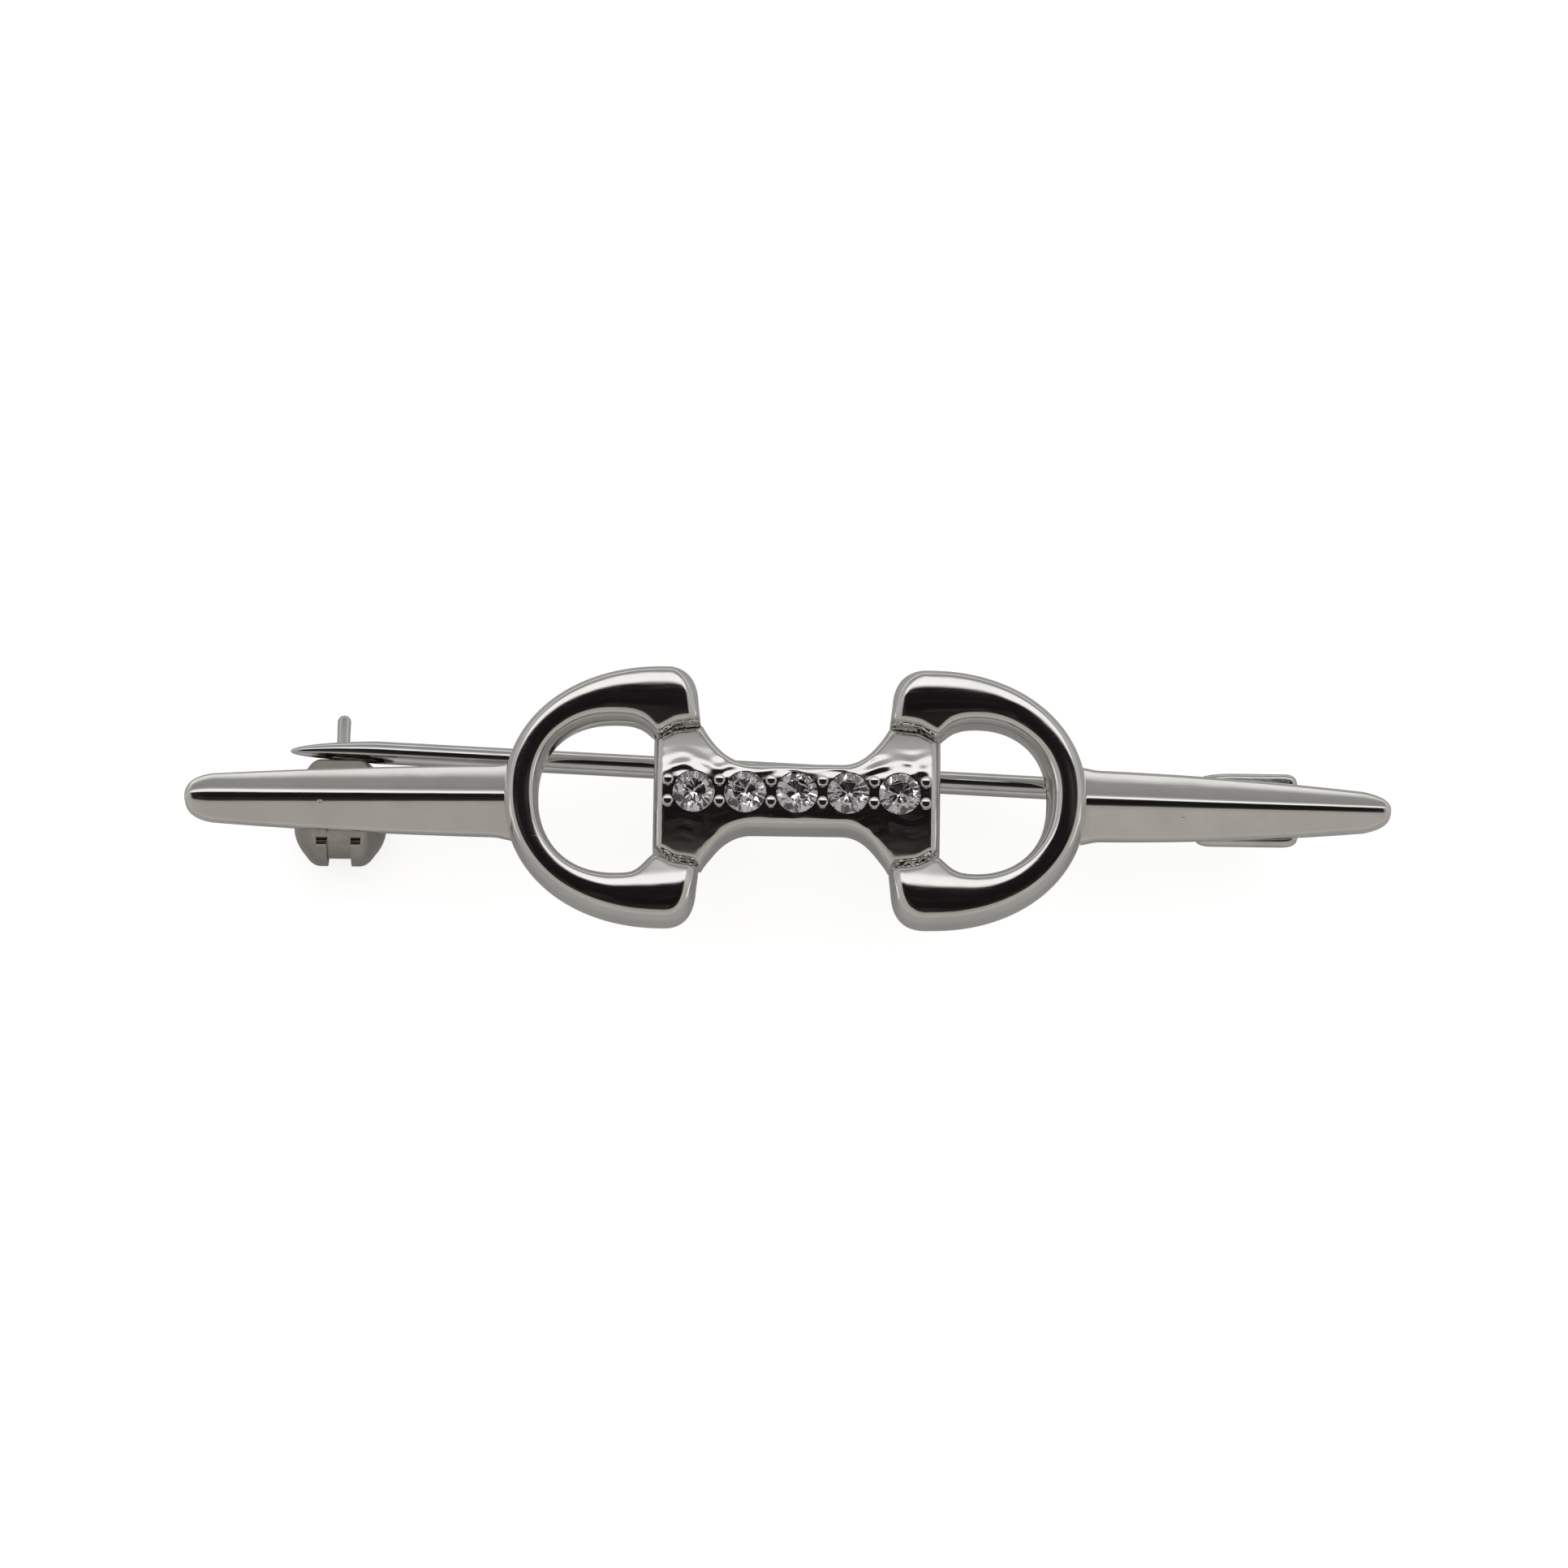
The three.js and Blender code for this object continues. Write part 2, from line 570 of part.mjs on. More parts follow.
// The turning sleeve inside the catch, slit where the stem goes in
function catchRoller() {
  const half = CATCH_BORE_HALF - RUN_GAP;
  const bore = ROLLER_RADIUS - ROLLER_WALL;
  const profile = [
    [half, ROLLER_RADIUS],
    [half, bore],
    [-half, bore],
    [-half, ROLLER_RADIUS],
    [half, ROLLER_RADIUS],
  ];
  const sleeve = solid(turnedAlongX(profile, 2 * ROUND_SIDES));
  const slack = TANG_THICKNESS + 2 * SEAT_GAP;
  const hole = leaned(slack, bore - CUT_MARGIN, ROLLER_RADIUS + CUT_MARGIN, false);
  const reach = TANG_WIDTH / 2 + SEAT_GAP;
  const tangHole = solid(lean(runAlongX(hole, -reach, reach)));
  return sleeve.subtract(catchMouth(0, 0)).subtract(tangHole);
}

// The thumb lever, its tang set in the sleeve's wall
function thumbLever() {
  const foot = ROLLER_RADIUS + RUN_GAP;
  const tip = leaned(LEVER_THICKNESS, foot, LEVER_REACH, true);
  const blade = solid(lean(runAlongX(tip, -LEVER_WIDTH / 2, LEVER_WIDTH / 2)));
  const root = leaned(TANG_THICKNESS, ROLLER_RADIUS - ROLLER_WALL, foot + LEVER_THICKNESS, false);
  const tang = solid(lean(runAlongX(root, -TANG_WIDTH / 2, TANG_WIDTH / 2)));
  return blade.add(tang);
}

// The plate that carries the hinge on the right bar's back
function hingePad() {
  const left = HINGE_X - PAD_LENGTH / 2;
  const right = HINGE_X + PAD_LENGTH / 2;
  const shape = new THREE.Shape();
  shape.moveTo(left + PAD_CORNER, PAD_LOW_Y);
  shape.lineTo(right - PAD_CORNER, PAD_LOW_Y);
  shape.quadraticCurveTo(right, PAD_LOW_Y, right, PAD_LOW_Y + PAD_CORNER);
  shape.lineTo(right, PAD_HIGH_Y - PAD_CORNER);
  shape.quadraticCurveTo(right, PAD_HIGH_Y, right - PAD_CORNER, PAD_HIGH_Y);
  shape.lineTo(left + PAD_CORNER, PAD_HIGH_Y);
  shape.quadraticCurveTo(left, PAD_HIGH_Y, left, PAD_HIGH_Y - PAD_CORNER);
  shape.lineTo(left, PAD_LOW_Y + PAD_CORNER);
  shape.quadraticCurveTo(left, PAD_LOW_Y, left + PAD_CORNER, PAD_LOW_Y);
  const plate = solid(raised(shape, -PAD_THICKNESS, -SOLDER_GAP));
  const hole = RIVET_RADIUS + SEAT_GAP;
  const floor = -PAD_THICKNESS + RIVET_TAIL + SEAT_GAP;
  const drill = [
    [0, -PAD_THICKNESS - CUT_MARGIN],
    [hole, -PAD_THICKNESS - CUT_MARGIN],
    [hole, floor],
    [0, floor],
  ];
  return plate.subtract(solid(turned(drill).translate(HINGE_X, HINGE_Y, 0)));
}

// The hinge rivet: tail in the pad, shoulder under the eye, shank through it and a flat head
function hingeRivet() {
  const washerBack = EYE_BACK + RUN_GAP + WASHER_THICKNESS;
  const head = washerBack + RUN_GAP;
  const end = head + RIVET_HEAD_THICKNESS;
  const edge = RIVET_HEAD_THICKNESS / 2;
  const shoulder = PAD_THICKNESS + SOLDER_GAP;
  const profile = [
    [0, -end],
    [RIVET_HEAD_RADIUS - edge, -end],
    [RIVET_HEAD_RADIUS, -end + edge],
    [RIVET_HEAD_RADIUS, -head],
    [RIVET_RADIUS, -head],
    [RIVET_RADIUS, -EYE_FRONT + RUN_GAP],
    [RIVET_SHOULDER_RADIUS, -EYE_FRONT + RUN_GAP],
    [RIVET_SHOULDER_RADIUS, -shoulder],
    [RIVET_RADIUS, -shoulder],
    [RIVET_RADIUS, -PAD_THICKNESS + RIVET_TAIL],
    [0, -PAD_THICKNESS + RIVET_TAIL],
  ];
  return solid(turned(profile).translate(HINGE_X, HINGE_Y, 0));
}

function hingeWasher() {
  const front = -EYE_BACK - RUN_GAP;
  const back = front - WASHER_THICKNESS;
  const bore = RIVET_RADIUS + RUN_GAP;
  const profile = [[bore, back], [WASHER_RADIUS, back], [WASHER_RADIUS, front], [bore, front], [bore, back]];
  return solid(turned(profile).translate(HINGE_X, HINGE_Y, 0));
}

// The pin stem with its flattened eye, about the hinge, pointing along -X
function pinStem() {
  const shaftEnd = STEM_LENGTH - STEM_POINT_LENGTH;
  const profile = [
    [-STEM_LENGTH, 0],
    [-shaftEnd, STEM_RADIUS],
    [-RIVET_RADIUS, STEM_RADIUS],
    [-RIVET_RADIUS, 0],
  ];
  const shaft = solid(turnedAlongX(profile, SMALL_SIDES));
  const half = EYE_THICKNESS / 2;
  const eye = solid(turned([[0, -half], [EYE_RADIUS, -half], [EYE_RADIUS, half], [0, half]]));
  const bore = RIVET_RADIUS + RUN_GAP;
  const drill = solid(turned([
    [0, -CUT_MARGIN],
    [bore, -CUT_MARGIN],
    [bore, CUT_MARGIN],
    [0, CUT_MARGIN],
  ]));
  const over = RIVET_HEAD_RADIUS + RUN_GAP;
  const sleeve = solid(turned([
    [0, half],
    [over, half],
    [over, CUT_MARGIN],
    [0, CUT_MARGIN],
  ]));
  const under = solid(turned([
    [0, -CUT_MARGIN],
    [WASHER_RADIUS + RUN_GAP, -CUT_MARGIN],
    [WASHER_RADIUS + RUN_GAP, -half],
    [0, -half],
  ]));
  return shaft.subtract(sleeve).subtract(under).add(eye).subtract(drill);
}

// A copy of a solid on the other side of the middle
function mirrored(body) {
  return body.mirror([1, 0, 0]);
}

const front = new THREE.Group();
const leftBar = bar(LEFT_REACH, LEFT_TIP_HALF_WIDTH, LEFT_TIP_BLUNTNESS);
const rightBar = bar(RIGHT_REACH, RIGHT_TIP_HALF_WIDTH, RIGHT_TIP_BLUNTNESS);
front.add(piece('left_bar', mirrored(leftBar), silver));
front.add(piece('right_bar', rightBar, silver));
front.add(piece('left_d_ring', mirrored(dRing()), silver));
front.add(piece('right_d_ring', dRing(), silver));
front.add(piece('mouthpiece', mouthpiece(), silver));
stonePlaces().forEach((x, i) => front.add(piece(`stone_${i + 1}`, stone(x), brilliant)));
clawPlaces().forEach(([x, y], i) => front.add(piece(`claw_${i + 1}`, claw(x, y), silver)));

const safetyCatch = new THREE.Group();
safetyCatch.position.set(CATCH_X, 0, -CATCH_AXIS_DEPTH);
safetyCatch.add(piece('catch_body', catchBody(), silver));
safetyCatch.add(piece('catch_roller', catchRoller(), silver));
safetyCatch.add(piece('thumb_lever', thumbLever(), silver));

const hinge = new THREE.Group();
hinge.add(piece('hinge_pad', hingePad(), silver));
hinge.add(piece('hinge_rivet', hingeRivet(), silver));
hinge.add(piece('hinge_washer', hingeWasher(), silver));

const stem = piece('pin_stem', pinStem(), silver);
stem.position.set(HINGE_X, HINGE_Y, -STEM_DEPTH);
stem.rotation.z = THREE.MathUtils.degToRad(-STEM_REST_ANGLE);

const stockPin = new THREE.Group();
stockPin.position.set(CENTRE_SHIFT, 0, BACK_HEIGHT);
stockPin.add(front, safetyCatch, hinge, stem);

export default stockPin;
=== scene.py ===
"""Dresses a stock pin in the form of a snaffle bit: ridged bars, D-rings, a stone-set mouthpiece,
and the hinged pin stem and roll-over catch behind them."""

import json
import logging
import math
from collections.abc import Sequence
from dataclasses import dataclass, field, replace
from enum import Enum

import bpy
import numpy as np
from mathutils import Matrix, Vector


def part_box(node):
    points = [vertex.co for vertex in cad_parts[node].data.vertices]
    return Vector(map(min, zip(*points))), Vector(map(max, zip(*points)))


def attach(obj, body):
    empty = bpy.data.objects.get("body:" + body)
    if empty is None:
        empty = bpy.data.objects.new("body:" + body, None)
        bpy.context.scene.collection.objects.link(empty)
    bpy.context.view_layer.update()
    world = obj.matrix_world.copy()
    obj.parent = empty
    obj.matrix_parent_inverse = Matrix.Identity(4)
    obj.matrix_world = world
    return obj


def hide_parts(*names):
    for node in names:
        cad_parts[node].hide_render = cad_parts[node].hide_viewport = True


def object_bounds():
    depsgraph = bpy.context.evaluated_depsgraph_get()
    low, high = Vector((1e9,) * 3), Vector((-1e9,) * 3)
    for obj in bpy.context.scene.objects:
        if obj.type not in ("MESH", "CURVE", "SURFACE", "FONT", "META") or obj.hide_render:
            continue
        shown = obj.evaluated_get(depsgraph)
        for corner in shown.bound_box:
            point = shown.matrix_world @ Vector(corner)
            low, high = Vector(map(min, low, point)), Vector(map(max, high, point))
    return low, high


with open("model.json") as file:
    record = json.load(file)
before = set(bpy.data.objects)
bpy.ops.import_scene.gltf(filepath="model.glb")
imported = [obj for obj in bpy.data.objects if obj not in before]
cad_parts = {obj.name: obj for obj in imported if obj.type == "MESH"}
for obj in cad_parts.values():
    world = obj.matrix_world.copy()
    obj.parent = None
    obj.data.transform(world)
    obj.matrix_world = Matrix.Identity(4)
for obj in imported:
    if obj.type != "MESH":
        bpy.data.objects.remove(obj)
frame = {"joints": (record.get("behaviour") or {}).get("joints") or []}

CAD_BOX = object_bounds()
LOG = logging.getLogger("stock_pin")
MM = 0.001
QUARTER = math.pi / 2
TINY = 1e-6

Point = tuple[float, float]
Plan = list[Point]
Colour = tuple[float, float, float]
Feed = float | Sequence[float] | bpy.types.NodeSocket
Inputs = dict[str | int, Feed]
Range = tuple[Feed, Feed]


class Side(Enum):
    """The two ends of the pin, as the sign of X."""

    LEFT = -1
    RIGHT = 1

    @property
    def word(self) -> str:
        """The side's name as it stands in piece names."""
        return self.name.lower()


class Axis(Enum):
    """The direction of a turned piece's centre line."""

    X = (1.0, 0.0, 0.0)
    Z = (0.0, 0.0, 1.0)


class Body(Enum):
    """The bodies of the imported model."""

    BROOCH = "brooch"
    ROLLER = "roller"
    PIN = "pin"


class Work(Enum):
    """What a tool does to a piece."""

    CUT = "DIFFERENCE"
    JOIN = "UNION"


def box_mm(node: str) -> tuple[Vector, Vector]:
    """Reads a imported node's lowest and highest corner, in millimetres."""
    low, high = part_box(node)
    return low / MM, high / MM


def joint_mm(name: str) -> Vector:
    """Reads a point on a joint's axis, in millimetres."""
    joint = next(j for j in frame["joints"] if j["name"] == name)
    return Vector(joint["pos_m"]) / MM


BACK_Z = box_mm("left_bar")[0].z
MIDDLE_X = sum(corner.x for corner in box_mm("mouthpiece")) / 2


def reaches_mm(node: str) -> list[float]:
    """Reads how far a node's near and far end lie from the mouthpiece's middle, in millimetres."""
    return sorted(abs(corner.x - MIDDLE_X) for corner in box_mm(node))


def spot_mm(x: float, y: float, z: float) -> Vector:
    """Gives the place at X from the mouthpiece's middle and at Z over the bars' back."""
    return Vector((MIDDLE_X + x, y, BACK_Z + z))


def bezier(a: Point, b: Point, c: Point, t: float) -> Point:
    """Gives the point at t, from 0 to 1, on a quadratic curve from a to c with the control point b."""
    p = Vector(a) * (1 - t) ** 2 + Vector(b) * (2 * t * (1 - t)) + Vector(c) * t**2
    return p.x, p.y


def fillet(distance: float, radius: float) -> float:
    """Gives the drop of a rounded edge.

    Args:
        distance: The distance from the edge.
        radius: The rounding's radius.

    Returns:
        The drop below the unrounded surface.
    """
    if distance >= radius:
        return 0.0
    return radius - math.sqrt(max(0.0, radius**2 - (radius - distance) ** 2))


def ease(value: float, start: float, end: float) -> float:
    """Gives a soft step from 0 at the start to 1 at the end."""
    share = min(max((value - start) / (end - start), 0.0), 1.0)
    return share * share * (3 - 2 * share)


class Bench:
    """The modelling steps that the pieces share. Work is in millimetres until a piece is finished."""

    MERGE = 1e-4

    @staticmethod
    def clear() -> None:
        """Leaves edit mode and deselects everything."""
        if bpy.context.object is not None and bpy.context.object.mode != "OBJECT":
            bpy.ops.object.mode_set(mode="OBJECT")
        bpy.ops.object.select_all(action="DESELECT")

    @classmethod
    def pick(cls, piece: bpy.types.Object) -> None:
        """Selects one piece alone and makes it the active one.

        Args:
            piece: The piece to work on.
        """
        cls.clear()
        piece.select_set(True)
        bpy.context.view_layer.objects.active = piece

    @classmethod
    def edit(cls, piece: bpy.types.Object) -> None:
        """Opens one piece alone in edit mode with all of its mesh selected.

        Args:
            piece: The piece to work on.
        """
        cls.pick(piece)
        bpy.ops.object.mode_set(mode="EDIT")
        bpy.ops.mesh.select_all(action="SELECT")

    @classmethod
    def close(cls) -> None:
        """Merges doubled points, points the faces outwards and leaves edit mode."""
        bpy.ops.mesh.select_all(action="SELECT")
        bpy.ops.mesh.remove_doubles(threshold=cls.MERGE)
        bpy.ops.mesh.dissolve_degenerate(threshold=cls.MERGE)
        bpy.ops.mesh.normals_make_consistent(inside=False)
        bpy.ops.object.mode_set(mode="OBJECT")

    @staticmethod
    def named(name: str) -> bpy.types.Object:
        """Names the piece that was started last."""
        bpy.context.object.name = name
        return bpy.context.object

    @staticmethod
    def copied(pattern: bpy.types.Object, name: str) -> bpy.types.Object:
        """Copies a piece, with a mesh of its own.

        Args:
            pattern: The piece to copy.
            name: The copy's name.

        Returns:
            The copy.
        """
        piece = pattern.copy()
        piece.data = pattern.data.copy()
        piece.name = name
        bpy.context.scene.collection.objects.link(piece)
        return piece

    @classmethod
    def skin(cls, name: str, rings: list[list[Vector]], start: Vector, end: Vector) -> bpy.types.Object:
        """Lays a closed grid over rings of points, for forms whose section changes along them.

        Args:
            name: The piece's name.
            rings: The points round each section, the same number in all.
            start: The point that closes the grid before the first ring.
            end: The point that closes it after the last ring.

        Returns:
            The piece.
        """
        rows, columns = len(rings) + 1, len(rings[0])
        cls.clear()
        bpy.ops.mesh.primitive_grid_add(x_subdivisions=rows, y_subdivisions=columns, size=2)
        piece = cls.named(name)
        for point in piece.data.vertices:
            row, step = round((point.co.x + 1) / 2 * rows), round((point.co.y + 1) / 2 * columns)
            if 0 < row < rows:
                point.co = rings[row - 1][step % columns]
            else:
                point.co = end if row else start
        cls.edit(piece)
        cls.close()
        return piece

    @classmethod
    def turned(cls, name: str, profile: Plan, axis: Axis, steps: int) -> bpy.types.Object:
        """Spins a closed profile about the origin.

        Args:
            name: The piece's name.
            profile: Places along the axis, each with its radius.
            axis: The centre line.
            steps: Steps in the full turn.

        Returns:
            The piece.
        """
        cls.clear()
        bpy.ops.mesh.primitive_circle_add(vertices=len(profile), radius=1, fill_type="NOTHING")
        piece = cls.named(name)
        for point, (place, radius) in zip(piece.data.vertices, profile):
            point.co = (place, radius, 0) if axis is Axis.X else (radius, 0, place)
        cls.edit(piece)
        bpy.ops.mesh.spin(steps=steps, angle=2 * math.pi, center=(0, 0, 0), axis=axis.value)
        cls.close()
        return piece

    @classmethod
    def plate(cls, name: str, plan: Plan, low: float, high: float) -> bpy.types.Object:
        """Raises a plan drawn in X and Y between two heights.

        Args:
            name: The piece's name.
            plan: The outline's points in order.
            low: The lower height.
            high: The upper height.

        Returns:
            The piece.
        """
        cls.clear()
        bpy.ops.mesh.primitive_circle_add(vertices=len(plan), radius=1, fill_type="NGON")
        piece = cls.named(name)
        for point, (x, y) in zip(piece.data.vertices, plan):
            point.co = (x, y, low)
        cls.edit(piece)
        bpy.ops.mesh.extrude_region_move(TRANSFORM_OT_translate={"value": (0, 0, high - low)})
        cls.close()
        return piece

    @classmethod
    def slice(cls, piece: bpy.types.Object, place: Vector, normal: Vector) -> None:
        """Cuts off what lies beyond a plane and closes the cut.

        Args:
            piece: The piece to cut.
            place: A point on the plane.
            normal: The direction of the side that is taken off.
        """
        cls.edit(piece)
        bpy.ops.mesh.bisect(
            plane_co=place, plane_no=normal, use_fill=True, clear_outer=True, threshold=cls.MERGE
        )
        bpy.ops.object.mode_set(mode="OBJECT")

    @staticmethod
    def place(piece: bpy.types.Object, spot: Vector, turn: Matrix | None = None) -> None:
        """Moves a piece's mesh to a spot, turned about its origin first if a turn is given."""
        matrix = Matrix.Translation(spot)
        piece.data.transform(matrix @ turn if turn is not None else matrix)

    @classmethod
    def boolean(cls, piece: bpy.types.Object, tool: bpy.types.Object, work: Work = Work.CUT) -> None:
        """Cuts a piece with a tool or joins the two, and takes the tool away.

        Args:
            piece: The piece that stays.
            tool: The cutter, or the piece that is joined on.
            work: What the tool does.
        """
        cls.pick(piece)
        step = piece.modifiers.new("tool", "BOOLEAN")
        step.operation = work.value
        step.solver = "EXACT"
        step.object = tool
        bpy.ops.object.modifier_apply(modifier=step.name)
        bpy.data.objects.remove(tool)
        cls.edit(piece)
        cls.close()

    @classmethod
    def soften(cls, piece: bpy.types.Object, width: float, degrees: float = 30, segments: int = 3) -> None:
        """Takes the sharpness off a piece's edges with a bevel.

        Args:
            piece: The piece.
            width: The bevel's width.
            degrees: The least angle of an edge that is softened.
            segments: Steps in the bevel.
        """
        cls.pick(piece)
        step = piece.modifiers.new("soften", "BEVEL")
        step.width = width
        step.segments = segments
        step.limit_method = "ANGLE"
        step.angle_limit = math.radians(degrees)
        step.harden_normals = False
        bpy.ops.object.modifier_apply(modifier=step.name)

    @classmethod
    def finish(
        cls, piece: bpy.types.Object, node: str, body: Body, finish: "Finish", smooth: float | None = 35
    ) -> None:
        """Sets a piece to metres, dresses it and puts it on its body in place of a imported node.

        Args:
            piece: The modelled piece, in millimetres.
            node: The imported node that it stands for.
            body: The body that carries it.
            finish: Its finish.
            smooth: The angle up to which faces run into each other, or None for flat faces.
        """
        cls.pick(piece)
        piece.scale = (MM, MM, MM)
        bpy.ops.object.transform_apply(location=True, rotation=True, scale=True)
        if smooth is None:
            bpy.ops.object.shade_flat()
        else:
            bpy.ops.object.shade_smooth_by_angle(angle=math.radians(smooth))
        piece.data.materials.clear()
        piece.data.materials.append(finish.material())
        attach(piece, body.value)
        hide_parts(node)
        LOG.info("%s: %d faces on %s", piece.name, len(piece.data.polygons), body.value)


class Weave:
    """The node tree of a finish, of a shared effect or of the studio."""

    MIX_SHARE, MIX_FIRST, MIX_SECOND, MIX_RESULT = 0, 6, 7, 2

    def __init__(self, tree: bpy.types.NodeTree) -> None:
        """Keeps the tree."""
        self.tree = tree

    @property
    def shader(self) -> bpy.types.Node:
        """The material's own shader."""
        return self.tree.nodes["Principled BSDF"]

    def feed(self, node: bpy.types.Node, inputs: Inputs) -> None:
        """Fills a node's inputs.

        Args:
            node: The node.
            inputs: A value, or the socket to link, for each input by its name or number.
        """
        for socket, given in inputs.items():
            if isinstance(given, bpy.types.NodeSocket):
                self.tree.links.new(given, node.inputs[socket])
            else:
                node.inputs[socket].default_value = given

    def add(self, kind: str, inputs: Inputs | None = None, **options: object) -> bpy.types.Node:
        """Adds a node.

        Args:
            kind: Its type's name after ShaderNode.
            inputs: What goes into it, as for feed.
            options: Its own settings.

        Returns:
            The node.
        """
        node = self.tree.nodes.new(f"ShaderNode{kind}")
        for option, choice in options.items():
            setattr(node, option, choice)
        self.feed(node, inputs or {})
        return node

    def spot(self) -> bpy.types.NodeSocket:
        """Adds the object's own coordinates."""
        return self.add("TexCoord").outputs["Object"]

    def reckon(self, operation: str, *terms: Feed) -> bpy.types.NodeSocket:
        """Adds a step of arithmetic and gives its result."""
        return self.add("Math", dict(enumerate(terms)), operation=operation).outputs["Value"]

    def noise(
        self, spot: bpy.types.NodeSocket, scale: Feed, detail: float = 2, roughness: float = 0.5
    ) -> bpy.types.NodeSocket:
        """Adds noise over the given coordinates and gives its strength."""
        inputs = {"Vector": spot, "Scale": scale, "Detail": detail, "Roughness": roughness}
        return self.add("TexNoise", inputs).outputs["Fac"]

    def span(
        self, value: Feed, given: Range = (0, 1), wanted: Range = (0, 1), soft: bool = False
    ) -> bpy.types.NodeSocket:
        """Adds a change of range.

        Args:
            value: The value to change.
            given: The ends of the range that it comes from.
            wanted: The ends of the range that it goes to.
            soft: Whether it starts and ends softly.

        Returns:
            The changed value.
        """
        inputs = {"Value": value, "From Min": given[0], "From Max": given[1]}
        inputs |= {"To Min": wanted[0], "To Max": wanted[1]}
        kind = "SMOOTHSTEP" if soft else "LINEAR"
        return self.add("MapRange", inputs, interpolation_type=kind).outputs["Result"]

    def blend(self, share: Feed, first: Feed, second: Feed, way: str = "MIX") -> bpy.types.NodeSocket:
        """Adds a blend of two colours and gives its result."""
        inputs = {self.MIX_SHARE: share, self.MIX_FIRST: first, self.MIX_SECOND: second}
        return self.add("Mix", inputs, data_type="RGBA", blend_type=way).outputs[self.MIX_RESULT]


HAZE_SPAN = (0.38, 0.68)
SCRATCH_SPAN = (0.56, 0.72)


def wear_group() -> bpy.types.NodeTree:
    """Builds the handling wear that every metal finish shares: haze, fine scratches, pits and ripple.

    Returns:
        The node group, with Haze and Scratches from 0 to 1, and Height and Ripple for bumps.
    """
    name = "handling_wear"
    if name in bpy.data.node_groups:
        return bpy.data.node_groups[name]
    tree = bpy.data.node_groups.new(name, "ShaderNodeTree")
    for label in ("Along", "Across", "Haze Scale", "Pit Scale", "Pit Size", "Ripple Scale"):
        tree.interface.new_socket(label, in_out="INPUT", socket_type="NodeSocketFloat")
    for label in ("Haze", "Scratches", "Height", "Ripple"):
        tree.interface.new_socket(label, in_out="OUTPUT", socket_type="NodeSocketFloat")
    given = tree.nodes.new("NodeGroupInput").outputs
    weave = Weave(tree)
    spot = weave.spot()
    haze = weave.noise(spot, given["Haze Scale"], detail=4, roughness=0.6)
    stretch = weave.add("CombineXYZ", {"X": given["Along"], "Y": given["Across"], "Z": given["Across"]})
    drawn = weave.add("VectorMath", {0: spot, 1: stretch.outputs["Vector"]}, operation="MULTIPLY")
    lines = weave.noise(drawn.outputs["Vector"], 1, detail=3)
    scratches = weave.span(lines, SCRATCH_SPAN)
    cells = weave.add("TexVoronoi", {"Vector": spot, "Scale": given["Pit Scale"]})
    pits = weave.span(cells.outputs["Distance"], (0, given["Pit Size"]), (1, 0))
    results = {
        "Haze": weave.span(haze, HAZE_SPAN),
        "Scratches": scratches,
        "Height": weave.reckon("ADD", scratches, pits),
        "Ripple": weave.noise(spot, given["Ripple Scale"], detail=1),
    }
    weave.feed(tree.nodes.new("NodeGroupOutput"), results)
    return tree


@dataclass(frozen=True)
class Finish:
    """A surface finish and the record's slot that it stands for."""

    name: str
    slot: str

    def material(self) -> bpy.types.Material:
        """Gives the finish's material, made on first use.

        Returns:
            The material.
        """
        if self.name not in bpy.data.materials:
            made = bpy.data.materials.new(self.name)
            made.use_nodes = True
            self.dress(Weave(made.node_tree))
        return bpy.data.materials[self.name]

    def dress(self, weave: Weave) -> None:
        """Sets up the nodes of the new material's tree."""
        raise NotImplementedError


@dataclass(frozen=True)
class PlatedMetal(Finish):
    """White plating over silver, with its polish and its handling wear."""

    tint: Colour
    dull: Colour
    smooth: float
    hazed: float
    scratch_roughness: float
    along: float
    across: float
    haze_scale: float
    pit_scale: float
    pit_size: float
    relief: float
    ripple_scale: float
    ripple: float
    relief_depth: float = 2e-6

    def dress(self, weave: Weave) -> None:
        """Sets up the plating's nodes.

        Args:
            weave: The new material's tree.
        """
        sizes = {
            "Along": self.along,
            "Across": self.across,
            "Haze Scale": self.haze_scale,
            "Pit Scale": self.pit_scale,
            "Pit Size": self.pit_size,
            "Ripple Scale": self.ripple_scale,
        }
        group = weave.add("Group", node_tree=wear_group())
        weave.feed(group, sizes)
        wear = group.outputs
        polish = weave.span(wear["Haze"], wanted=(self.smooth, self.hazed))
        sway = weave.add("Bump", {"Distance": self.ripple, "Height": wear["Ripple"]})
        relief = {"Strength": self.relief, "Distance": self.relief_depth, "Height": wear["Height"]}
        bump = weave.add("Bump", relief | {"Normal": sway.outputs["Normal"]}, invert=True)
        surface = {
            "Metallic": 1,
            "Base Color": weave.blend(wear["Haze"], (*self.tint, 1), (*self.dull, 1)),
            "Roughness": weave.reckon("MULTIPLY_ADD", wear["Scratches"], self.scratch_roughness, polish),
            "Normal": bump.outputs["Normal"],
        }
        weave.feed(weave.shader, surface)


@dataclass(frozen=True)
class CutStone(Finish):
    """A clear brilliant with a faint tint that drifts through it and a little dust."""

    tint: Colour
    drift: Colour
    bend: float
    drift_scale: float = 500
    dust_scale: float = 6000
    dust_span: Point = (0.6, 0.8)
    dusty: float = 0.05

    def dress(self, weave: Weave) -> None:
        """Sets up the stone's nodes.

        Args:
            weave: The new material's tree.
        """
        spot = weave.spot()
        drift, dust = weave.noise(spot, self.drift_scale), weave.noise(spot, self.dust_scale)
        surface = {
            "Transmission Weight": 1,
            "IOR": self.bend,
            "Base Color": weave.blend(drift, (*self.tint, 1), (*self.drift, 1)),
            "Roughness": weave.span(dust, self.dust_span, (0, self.dusty)),
        }
        weave.feed(weave.shader, surface)


